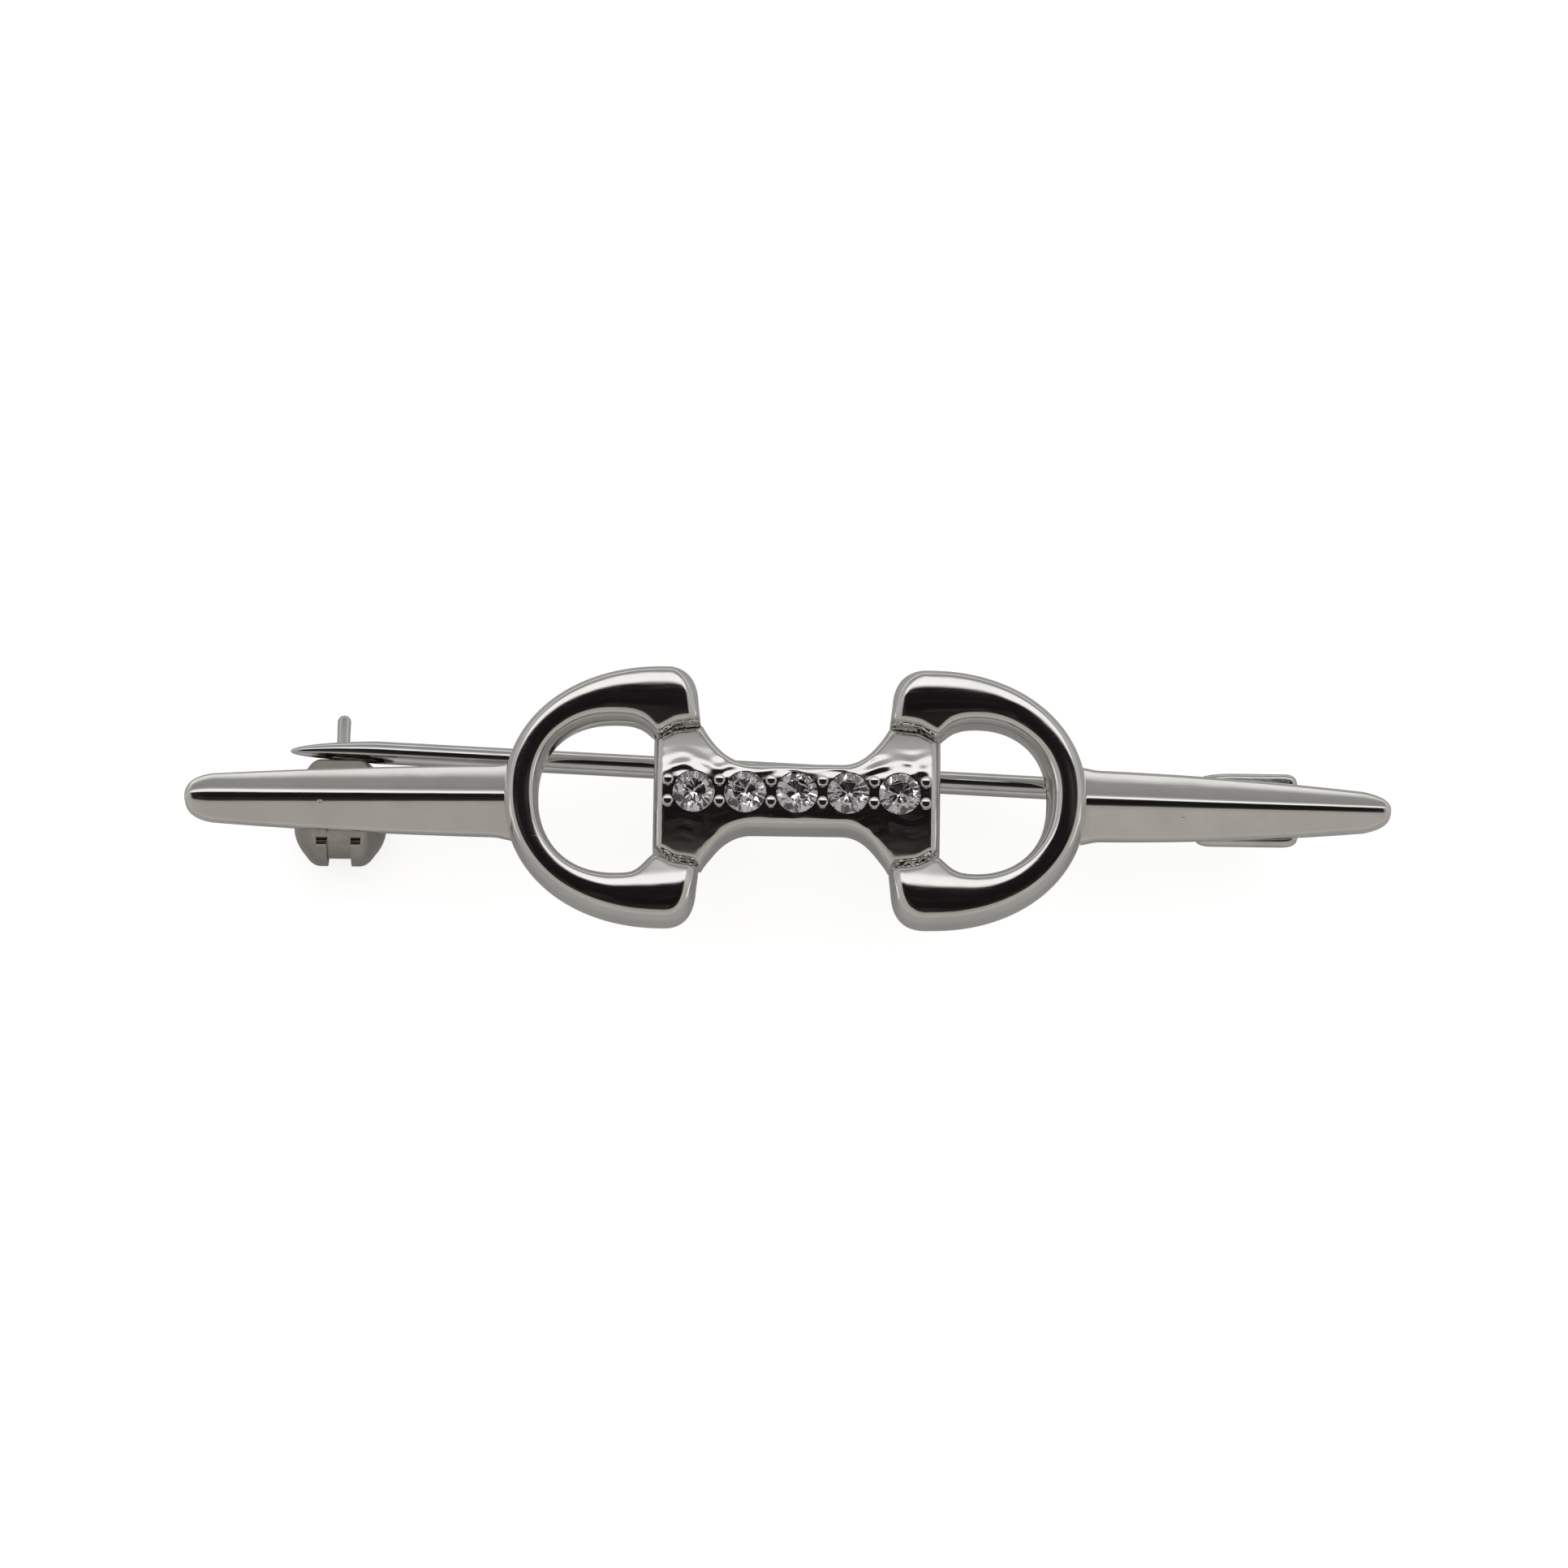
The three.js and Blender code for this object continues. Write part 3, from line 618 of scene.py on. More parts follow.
MIRROR_PLATE = PlatedMetal(
    name="mirror_plate",
    slot="silver",
    tint=(0.79, 0.78, 0.76),
    dull=(0.74, 0.73, 0.70),
    smooth=0.05,
    hazed=0.11,
    scratch_roughness=0.05,
    along=500,
    across=9000,
    haze_scale=350,
    pit_scale=420,
    pit_size=0.045,
    relief=0.12,
    ripple_scale=520,
    ripple=1.2e-5,
)
TUMBLED_PLATE = PlatedMetal(
    name="tumbled_plate",
    slot="findings",
    tint=(0.76, 0.75, 0.72),
    dull=(0.66, 0.65, 0.62),
    smooth=0.12,
    hazed=0.24,
    scratch_roughness=0.06,
    along=5000,
    across=5000,
    haze_scale=900,
    pit_scale=1500,
    pit_size=0.08,
    relief=0.3,
    ripple_scale=1400,
    ripple=1.0e-5,
)
DRAWN_WIRE = PlatedMetal(
    name="drawn_wire",
    slot="pin",
    tint=(0.78, 0.78, 0.78),
    dull=(0.70, 0.70, 0.69),
    smooth=0.07,
    hazed=0.14,
    scratch_roughness=0.08,
    along=120,
    across=12000,
    haze_scale=600,
    pit_scale=900,
    pit_size=0.03,
    relief=0.25,
    ripple_scale=400,
    ripple=4e-6,
)
# The catch's darker, warmer tint is partly a duller metal and partly painted shade, for the shade that falls
# on the catch between the bar and the floor.
CATCH_METAL_AND_SHADE = replace(TUMBLED_PLATE, name="catch_metal", tint=(0.50, 0.48, 0.435), dull=(0.42, 0.40, 0.36))
POLISHED_POST = replace(DRAWN_WIRE, name="polished_post", slot="findings")
CLEAR_BRILLIANT = CutStone(
    name="clear_brilliant", slot="stones", tint=(0.98, 0.98, 1.0), drift=(0.90, 0.87, 0.99), bend=2.2
)


@dataclass
class Bar:
    """A tapering bar: flat back, a flat lower facet, a rounded ridge and a full upper facet."""

    side: Side
    tip_half: float
    bluntness: float
    ridge_round: Point
    dip: Point
    pit: Point
    root_half: float = 1.95
    belly_half: float = 1.84
    least_half: float = 0.03
    tuck: float = 0.45
    flare: float = 0.2
    flare_length: float = 0.75
    tip_length: float = 1.5
    tip_ridge: float = 1.2
    tip_flat: float = 4.0
    nose: float = 0.72
    lower_slope: float = 30.0
    upper_start: float = 25.0
    upper_end: float = 36.5
    edge_round: float = 0.14
    edge_share: float = 0.3
    edge_steps: tuple[float, ...] = (0.0, 0.25, 0.55, 0.8)
    back_round: float = 0.08
    back_share: float = 0.2
    back_nick: float = 0.3
    bend_share: float = 0.95
    pit_radius: float = 0.13
    pit_rise: float = 0.02
    pit_stretch: tuple[float, ...] = (1.4, 0.8, 0.8, 1)
    flare_rows: int = 8
    rows: int = 56
    tip_rows: int = 20
    columns: int = 40
    reach: float = field(init=False)
    root: float = field(init=False)
    ridge: float = field(init=False)

    def __post_init__(self) -> None:
        """Takes the bar's reach and height and the ring's apex from the frame."""
        low, high = box_mm(f"{self.side.word}_bar")
        self.ridge = high.z - low.z
        self.reach = reaches_mm(f"{self.side.word}_bar")[1]
        self.root = reaches_mm(f"{self.side.word}_d_ring")[1]

    def between(self, x: float, root: float, tip: float) -> float:
        """Gives the size at a place along the bar, between the sizes at its root and at its tip."""
        along = max(0.0, (x - self.root) / (self.reach - self.root))
        return root + (tip - root) * along

    def ridge_at(self, x: float) -> float:
        """Gives the height of the ridge over the back, which falls towards the tip."""
        return self.between(x, self.ridge, self.tip_ridge)

    def stations(self) -> list[tuple[float, float, float]]:
        """Lists the bar's sections from root to tip.

        Returns:
            Place, half width and ridge height of each section.
        """
        flare_end = self.root + self.flare_length
        tip_start = self.reach - self.tip_length
        belly = (flare_end + tip_start) / 2
        found = [(self.root - self.tuck, self.root_half + self.flare, self.ridge)]
        for k in range(self.flare_rows + 1):
            x = self.root + self.flare_length * k / self.flare_rows
            spread = 0.5 * self.flare * (1 - k / self.flare_rows) ** 2
            found.append((x, self.root_half + spread, self.ridge_at(x)))
        root, middle, tip = (flare_end, self.root_half), (belly, self.belly_half), (tip_start, self.tip_half)
        for k in range(1, self.rows):
            x, half = bezier(root, middle, tip, k / self.rows)
            found.append((x, half, self.ridge_at(x)))
        for k in range(self.tip_rows + 1):
            t = 1 - (1 - k / self.tip_rows) ** 2
            x, half = bezier(tip, (self.reach, self.bluntness), (self.reach, 0), t)
            left = max(0.0, (self.reach - x) / self.tip_length)
            round_off = max(0.0, 1 - (1 - left) ** self.tip_flat) ** (1 / self.tip_flat)
            found.append((x, half, self.nose + (self.ridge_at(x) - self.nose) * round_off))
        return found

    def roof(self, y: float, bend: float, top: float, half: float) -> float:
        """Gives the height of the roof.

        Args:
            y: The place across the bar.
            bend: The radius of the ridge.
            top: The ridge's height.
            half: Half of the bar's width.

        Returns:
            The height over the back.
        """
        foot = -bend * math.sin(math.radians(self.lower_slope))
        brow = bend * math.sin(math.radians(self.upper_start))
        arc = top - bend + math.sqrt(max(0.0, bend**2 - min(max(y, foot), brow) ** 2))
        if y < foot:
            return arc - (foot - y) * math.tan(math.radians(self.lower_slope))
        if y > brow:
            first, last = (math.tan(math.radians(a)) for a in (self.upper_start, self.upper_end))
            run = y - brow
            return arc - run * first - 0.5 * (last - first) * run**2 / (half - brow)
        return arc

    def section(self, x: float, half: float, top: float) -> Plan:
        """Gives the section's outline.

        Args:
            x: The place along the bar.
            half: Half of its width.
            top: The ridge's height.

        Returns:
            The section's points across and up.
        """
        half = max(half, self.least_half)
        soft = min(self.edge_round, self.edge_share * half)
        back = min(self.back_round, self.back_share * half)
        nick = self.back_nick * back
        bend = min(self.between(x, *self.ridge_round), self.bend_share * half)

        def edge(side: int, step: float) -> Point:
            """Gives a point on the rounded edge of one side."""
            y = side * (half - soft * (1 - math.cos(QUARTER * step)))
            return y, self.roof(y, bend, top, half) - soft * (1 - math.sin(QUARTER * step))

        across = [-half + soft + (2 * half - 2 * soft) * k / self.columns for k in range(self.columns + 1)]
        return [
            (-half + back, 0.0),
            (half - back, 0.0),
            (half - nick, nick),
            (half, back),
            *(edge(1, step) for step in self.edge_steps),
            *((y, self.roof(y, bend, top, half)) for y in reversed(across)),
            *(edge(-1, step) for step in reversed(self.edge_steps)),
            (-half, back),
            (-half + nick, nick),
        ]

    def pit_cutter(self) -> bpy.types.Object:
        """Makes the cutter for the small casting pit in the lower facet.

        Returns:
            The cutter.
        """
        x, y = self.pit
        bend = self.between(abs(x), *self.ridge_round)
        height = self.roof(y, bend, self.ridge_at(abs(x)), self.root_half)
        Bench.clear()
        bpy.ops.mesh.primitive_ico_sphere_add(subdivisions=2, radius=self.pit_radius)
        cutter = Bench.named("pit_cutter")
        cutter.data.transform(Matrix.Diagonal(self.pit_stretch))
        Bench.place(cutter, spot_mm(x, y, height + self.pit_rise))
        return cutter

    def build(self) -> None:
        """Models and dresses the bar."""
        sign = self.side.value
        stations = self.stations()
        rings = []
        for x, half, top in stations:
            dip = self.between(x, *self.dip)
            rings.append([spot_mm(sign * x, y - dip, max(z, 0.0)) for y, z in self.section(x, half, top)])
        ends = (spot_mm(sign * x, 0, self.nose / 2) for x, _, _ in (stations[0], stations[-1]))
        piece = Bench.skin(f"{self.side.word}_bar_ridged", rings, *ends)
        Bench.boolean(piece, self.pit_cutter())
        Bench.finish(piece, f"{self.side.word}_bar", Body.BROOCH, MIRROR_PLATE, smooth=40)


class Outline:
    """A line in plan that a form is rounded away from."""

    def __init__(self, points: Sequence[Point]) -> None:
        """Keeps the line's stretches.

        Args:
            points: The line's points in order.
        """
        spots = np.array(points, dtype=float)
        self.start = spots[:-1]
        self.run = spots[1:] - spots[:-1]
        self.length = np.maximum((self.run**2).sum(axis=1), TINY**2)

    def far(self, x: float, y: float) -> float:
        """Gives the distance of a point from the line.

        Args:
            x: The point's place along.
            y: The point's place across.

        Returns:
            The shortest distance.
        """
        away = np.array((x, y)) - self.start
        along = np.clip((away * self.run).sum(axis=1) / self.length, 0.0, 1.0)
        gap = away - self.run * along[:, None]
        return float(np.sqrt((gap**2).sum(axis=1).min()))


SOLDER_DEPTH = 0.2
SOLDER_LUMP = 0.09
SOLDER_WAVES = (15.7, 6.9, 27.1)


def solder(x: float, phase: float) -> float:
    """Gives how deep the lumpy solder of a seam lies below the front.

    Args:
        x: The place along the seam.
        phase: Sets one side's lumps apart from the other's.

    Returns:
        The depth.
    """
    first, second, third = SOLDER_WAVES
    lumps = math.sin(first * x + phase) * math.sin(second * x + 2 * phase)
    return SOLDER_DEPTH - SOLDER_LUMP * (lumps + 0.5 * math.sin(third * x - phase))


@dataclass
class DRing:
    """A D-ring of domed section, slim at its apex and swelling to a bulb at both ends.

    Its plan is drawn as the ring on the +X side, measured from the mouthpiece's middle.
    """

    side: Side
    bulb_x: float = 7.2
    power: float = 2.1
    shoulder: Point = (5.25, 5.1)
    corner: Point = (5.36, 7.2)
    lean_y: float = 4.5
    hole_x: float = 9.65
    hole_reach: float = 4.22
    hole_rise: float = 4.12
    hole_drop: float = 0.0
    hole_drop_from: Point = (7.8, 8.9)
    hole_power: float = 2.2
    pull: float = 0.0
    trim: float = 0.0
    seam: tuple[Point, ...] = (
        (5.12, 3.97), (5.7, 3.94), (6.3, 3.86), (6.6, 3.78), (7.0, 3.55), (7.35, 3.36), (7.56, 3.3),
        (7.74, 3.36), (7.92, 3.52), (8.15, 3.72), (8.45, 3.91), (8.85, 4.05), (9.25, 4.11), (9.65, 4.12),
    )
    crown: float = 0.2
    crown_reach: float = 1.15
    crown_even: float = 0.8
    outer_round: float = 0.5
    end_round: float = 0.78
    end_span: Point = (5.8, 6.8)
    hole_round: float = 0.46
    lip: float = 0.0
    lip_round: float = 1.45
    seam_round: float = 0.36
    seam_span: Point = (-0.3, 0.9)
    back_round: float = 0.5
    wall_swell: float = 1.9
    front_limit: float = 0.5
    back_limit: float = 0.42
    spare: float = 0.06
    lean_rows: int = 8
    bulb_rows: int = 30
    arc_rows: int = 60
    arc_steps: int = 240
    columns: int = 34
    apex: float = field(init=False)
    end: float = field(init=False)
    half_height: float = field(init=False)
    low: float = field(init=False)
    thick: float = field(init=False)
    toe: float = field(init=False)

    def __post_init__(self) -> None:
        """Takes the ring's reach, height and thickness from the frame, and finds the bulbs' toes."""
        low, high = box_mm(f"{self.side.word}_d_ring")
        near, far = reaches_mm(f"{self.side.word}_d_ring")
        self.end, self.apex = near - self.pull, far - self.trim
        self.half_height = high.y - self.spare
        self.low = low.z - BACK_Z
        self.thick = high.z - low.z
        self.toe = min(self.seam, key=lambda spot: spot[1])[0]

    def outer_arc(self, angle: float) -> Point:
        """Gives a point on the outer curve.

        Args:
            angle: The curve's own angle, 0 at the apex and a right angle at the bulb.

        Returns:
            The point in plan.
        """
        across = max(math.cos(angle), 0) ** (2 / self.power)
        up = max(math.sin(angle), 0) ** (2 / self.power)
        return self.bulb_x + (self.apex - self.bulb_x) * across, self.half_height * up

    def lip_at(self, angle: float) -> float:
        """Gives how far the hole's rim reaches in at an angle about the hole, most at the apex."""
        return self.lip * max(math.cos(angle), 0.0) ** 4

    def hole_arc(self, angle: float) -> Point:
        """Gives a point on the hole's edge.

        Args:
            angle: The angle about the hole's middle, 0 at the apex.

        Returns:
            The point in plan.
        """
        reach = abs(math.cos(angle) / self.hole_reach) ** self.hole_power
        rise = abs(math.sin(angle) / self.hole_rise) ** self.hole_power
        far = (reach + rise) ** (-1 / self.hole_power) - self.lip_at(angle)
        return self.hole_x + far * math.cos(angle), far * math.sin(angle)

    def bulb_edge(self) -> Plan:
        """Lists the bulb's outer edge from the seam round its corner to the arc.

        Returns:
            The points in plan, by rising X.
        """
        foot = (self.end, self.seam[0][1])
        shoulder, corner = ((x - self.pull, y) for x, y in (self.shoulder, self.corner))
        lean = ((foot[0] + shoulder[0]) / 2, self.lean_y)
        top = (self.bulb_x, self.half_height)
        found = [bezier(foot, lean, shoulder, k / self.lean_rows) for k in range(self.lean_rows)]
        return found + [bezier(shoulder, corner, top, k / self.bulb_rows) for k in range(self.bulb_rows)]

    def upper_half(self) -> list[tuple[Point, Point]]:
        """Lists the sections from the upper bulb's end to the apex.

        Returns:
            The inner and the outer point of each section.
        """
        seam_x, seam_y = zip(*self.seam)
        found = [((x, float(np.interp(x, seam_x, seam_y))), (x, y)) for x, y in self.bulb_edge()]
        steps = range(self.arc_steps + 1)
        outer = [self.outer_arc(QUARTER * (1 - k / self.arc_steps)) for k in steps]
        outer_x, outer_y = zip(*outer)
        for k in range(self.bulb_rows):
            x = self.bulb_x + (self.hole_x - self.bulb_x) * k / self.bulb_rows
            inner_y, outer_at = np.interp(x, seam_x, seam_y), np.interp(x, outer_x, outer_y)
            found.append(((x, float(inner_y)), (x, float(outer_at))))
        bearings = [-math.atan2(y, x - self.hole_x) for x, y in outer]
        for k in range(self.arc_rows + 1):
            angle = QUARTER * (1 - k / self.arc_rows)
            at = float(np.interp(-angle, bearings, steps))
            found.append((self.hole_arc(angle), self.outer_arc(QUARTER * (1 - at / self.arc_steps))))
        return found

    def lower_half(self, upper: list[tuple[Point, Point]]) -> list[tuple[Point, Point]]:
        """Mirrors the upper half, with the hole a little deeper, and leaves out the apex.

        Args:
            upper: The upper half's sections.

        Returns:
            The inner and the outer point of each section.
        """
        found = []
        for (x, y), outer in upper[:-1]:
            y += self.hole_drop * ease(x, *self.hole_drop_from) * y / self.hole_rise
            found.append(((x, -y), (outer[0], -outer[1])))
        return found

    def dome(self, outer: Point, inner: Point, share: float, low: bool) -> float:
        """Gives the fall of the domed front, which runs evenly past the bulbs' toes.

        Args:
            outer: The section's outer point.
            inner: The section's inner point.
            share: The place from the outer to the inner point.
            low: Whether the section belongs to the lower half.

        Returns:
            The fall below the section's crest.
        """
        if outer[0] < self.hole_x:
            rise = self.hole_rise + (self.hole_drop if low else 0.0)
            along = (outer[0] - self.end) / (self.hole_x - self.end)
            edge = self.seam[0][1] + (rise - self.seam[0][1]) * along
            width = max(abs(outer[1]) - edge, TINY)
            across = abs(2 * share * abs(outer[1] - inner[1]) / width - 1)
        else:
            width = math.dist(outer, inner)
            across = abs(2 * share - 1)
        bend = min(across, self.crown_even)
        curve = bend**2 + 2 * self.crown_even * (across - bend)
        return self.crown * min(width / 2, self.crown_reach) * curve

    def rim_fall(self, x: float, y: float, out: float, into: float) -> float:
        """Gives the fall of the front's rounded rims, or of the solder where it fills the seam.

        Args:
            x: The place along the ring.
            y: The place across it.
            out: The distance from the outer edge.
            into: The distance from the inner edge.

        Returns:
            The fall below the domed front.
        """
        early, late = (self.toe + step for step in self.seam_span)
        soft = self.seam_round + (self.hole_round - self.seam_round) * ease(x, early, late)
        soft += self.lip_round * self.lip_at(math.atan2(y, x - self.hole_x))
        fall = fillet(into, soft)
        if x < self.toe:
            fall = min(fall, solder(x, self.side.value + y))
        brim = self.end_round + (self.outer_round - self.end_round) * ease(x, *self.end_span)
        return self.wall_swell * (self.outer_round / brim * fillet(out, brim) + fall)

    def build(self) -> None:
        """Models and dresses the ring."""
        upper = self.upper_half()
        lower = self.lower_half(upper)
        outer_edge = Outline([outer for _, outer in upper])
        inner_edges = [Outline([(x, abs(y)) for (x, y), _ in half]) for half in (upper, [*lower, upper[-1]])]
        shares = [(1 - math.cos(math.pi * k / (self.columns - 1))) / 2 for k in range(self.columns)]
        sign = self.side.value
        rings = []
        for inner, outer in upper + lower[::-1]:
            front, back = [], []
            for share in shares:
                x, y = (o + (i - o) * share for o, i in zip(outer, inner))
                out, into = outer_edge.far(x, abs(y)), inner_edges[y < 0].far(x, abs(y))
                fall = self.dome(outer, inner, share, y < 0) + self.rim_fall(x, y, out, into)
                top = self.low + self.thick - min(fall, self.front_limit * self.thick)
                lift = self.wall_swell * (fillet(out, self.back_round) + fillet(into, self.back_round))
                front.append(spot_mm(sign * x, y, top))
                back.append(spot_mm(sign * x, y, self.low + min(lift, self.back_limit * self.thick)))
            rings.append(front + back[::-1])
        feet = (spot_mm(sign * x, y, self.low + self.thick / 2) for (x, y), _ in (upper[0], lower[0]))
        piece = Bench.skin(f"{self.side.word}_d_ring_domed", rings, *feet)
        Bench.finish(piece, f"{self.side.word}_d_ring", Body.BROOCH, MIRROR_PLATE, smooth=50)


@dataclass
class Mouthpiece:
    """The waisted middle piece with cut corners, crowned flanks and five stone seats."""

    end_half: float = 3.05
    corner_x: float = 6.6
    corner_half: float = 3.72
    shoulder_x: float = 5.1
    neck_x: float = 2.4
    neck_half: float = 1.72
    sweep_x: float = 4.0
    table_half: float = 0.45
    flank_start: float = 7.5
    flank_end: float = 20.0
    flank_soft: float = 0.7
    edge_round: float = 0.45
    end_round: float = 0.6
    back_round: float = 0.4
    wall_swell: float = 1.6
    wave_depth: float = 0.015
    wave_full: float = 1.3
    wave_fade: Point = (1.9, 2.8)
    wave_across: float = 8.5
    wave_along: float = 2.3
    wave_sway: float = 1.6
    wave_beat: float = 3.1
    wave_even: float = 0.6
    rim_reach: float = 1.72
    rim_width: float = 0.24
    rim_height: float = 0.03
    rim_rise: Point = (0.9, 1.5)
    pull: float = 0.15
    pull_full: float = 4.6
    droop: float = 0.13
    droop_end: float = 4.5
    solder_phase: float = 1.7
    seat_slack: float = 0.04
    seat_past: float = 1.0
    seat_steps: int = 48
    light_hole: float = 0.55
    neck_rows: int = 10
    sweep_rows: int = 24
    shoulder_rows: int = 12
    corner_rows: int = 20
    columns: int = 76
    end_x: float = field(init=False)
    shoulder_half: float = field(init=False)
    thick: float = field(init=False)

    def __post_init__(self) -> None:
        """Takes the mouthpiece's reach, width and thickness from the frame."""
        low, high = box_mm("mouthpiece")
        self.end_x = high.x - MIDDLE_X
        self.shoulder_half = high.y
        self.thick = high.z - low.z

    def half_edge(self) -> Plan:
        """Lists the upper edge from the middle to the +X end.

        Returns:
            The points in plan, by rising X.
        """
        neck, sweep = (self.neck_x, self.neck_half), (self.sweep_x, self.neck_half)
        shoulder = (self.shoulder_x, self.shoulder_half)
        corner, end = Vector((self.corner_x, self.corner_half)), Vector((self.end_x, self.end_half))
        found = [(self.neck_x * k / self.neck_rows, self.neck_half) for k in range(self.neck_rows)]
        found += [bezier(neck, sweep, shoulder, k / self.sweep_rows) for k in range(self.sweep_rows)]
        shares = [k / self.shoulder_rows for k in range(self.shoulder_rows)]
        found += [tuple(Vector(shoulder).lerp(corner, share)) for share in shares]
        turns = [math.sin(QUARTER * k / self.corner_rows) for k in range(self.corner_rows + 1)]
        return found + [tuple(corner.lerp(end, turn)) for turn in turns]

    def flank(self, y: float) -> float:
        """Gives the fall of the front from the table to the edge.

        Args:
            y: The distance from the middle line.

        Returns:
            The fall below the table.
        """
        first, last = (math.tan(math.radians(a)) for a in (self.flank_start, self.flank_end))
        run = y - self.table_half
        if run <= 0:
            return 0.0
        if run < self.flank_soft:
            return first * run**2 / (2 * self.flank_soft)
        past = run - self.flank_soft
        span = self.shoulder_half - self.table_half - self.flank_soft
        return first * (self.flank_soft / 2 + past) + (last - first) * past**2 / (2 * span)

    def wave(self, x: float, y: float, seat: float) -> float:
        """Gives the soft waves that polishing left in the flanks, and the swelling over the end seats.

        Args:
            x: The place along the piece.
            y: The place across it.
            seat: The end seats' distance from the middle.

        Returns:
            The fall below the even flank.
        """
        inside = ease(abs(y), self.table_half, self.wave_full) * (1 - ease(abs(y), *self.wave_fade))
        swing = math.sin(self.wave_across * y + self.wave_sway * math.sin(self.wave_along * x))
        swing *= self.wave_even + (1 - self.wave_even) * math.sin(self.wave_beat * x + 1)
        off = (math.hypot(abs(x) - seat, y) - self.rim_reach) / self.rim_width
        rim = self.rim_height * math.exp(-(off**2)) * ease(y, *self.rim_rise)
        return self.wave_depth * inside * swing - rim

    def rim_fall(self, x: float, y: float, away: float) -> float:
        """Gives the fall of the front's rounded rims, or of the solder where it fills the seams.

        Args:
            x: The place along the piece.
            y: The place across it.
            away: The distance from the edge.

        Returns:
            The fall below the flank.
        """
        end_fall = self.edge_round / self.end_round * fillet(self.end_x - abs(x), self.end_round)
        fall = max(fillet(away, self.edge_round), end_fall)
        if abs(x) > self.shoulder_x and abs(y) > self.end_half:
            fall = min(fall, solder(x, self.solder_phase + math.copysign(1, y)))
        return self.wall_swell * fall

    def warp(self, x: float, y: float) -> Point:
        """Sets a point of the even plan where the cast piece has it.

        Args:
            x: The place along the even plan.
            y: The place across it.

        Returns:
            The place along and across.
        """
        sweep = ease(x, self.neck_x, self.pull_full) * (1 - ease(x, self.shoulder_x, self.corner_x))
        sag = min(max(-y / self.neck_half, 0.0), 1.0) * (1 - ease(abs(x), self.droop_end, self.shoulder_x))
        return x - self.pull * sweep, y - self.droop * sag

    def seat_cutter(self, x: float, stones: "StoneRow") -> bpy.types.Object:
        """Makes the cutter for one stone's seat, with its light hole.

        Args:
            x: The stone's place along X.
            stones: The stones' sizes.

        Returns:
            The cutter.
        """
        mouth = stones.radius + self.seat_slack
        under = stones.girdle_z - 2 * self.seat_slack
        narrow = under - (mouth - self.light_hole) * stones.pavilion / stones.radius
        low, high = BACK_Z - self.seat_past, BACK_Z + self.thick + self.seat_past
        hole = [(low, 0.0), (low, self.light_hole), (narrow, self.light_hole)]
        cutter = Bench.turned(
            "seat_cutter", [*hole, (under, mouth), (high, mouth), (high, 0.0)], Axis.Z, self.seat_steps
        )
        Bench.place(cutter, Vector((x, 0, 0)))
        return cutter

    def build(self, stones: "StoneRow") -> None:
        """Models and dresses the mouthpiece.

        Args:
            stones: The stones that it is cut for.
        """
        half = self.half_edge()
        edge = Outline([*half, (self.end_x, -self.end_half)])
        seat = stones.places[-1] - MIDDLE_X
        turns = [math.cos(math.pi * k / (self.columns - 1)) for k in range(self.columns)]
        rings = []
        for x, wide in [(-x, y) for x, y in reversed(half[1:])] + half:
            front, back = [], []
            for y in (wide * turn for turn in turns):
                away = edge.far(abs(x), abs(y))
                along, across = self.warp(x, y)
                fall = self.flank(abs(y)) + self.wave(x, y, seat) + self.rim_fall(x, y, away)
                front.append(spot_mm(along, across, self.thick - fall))
                back.append(spot_mm(along, across, self.wall_swell * fillet(away, self.back_round)))
            rings.append(front + back[::-1])
        end = half[-1][0]
        piece = Bench.skin("mouthpiece_waisted", rings, *(spot_mm(x, 0, self.thick / 2) for x in (-end, end)))
        for x in stones.places:
            Bench.boolean(piece, self.seat_cutter(x, stones))
        Bench.finish(piece, "mouthpiece", Body.BROOCH, MIRROR_PLATE, smooth=40)


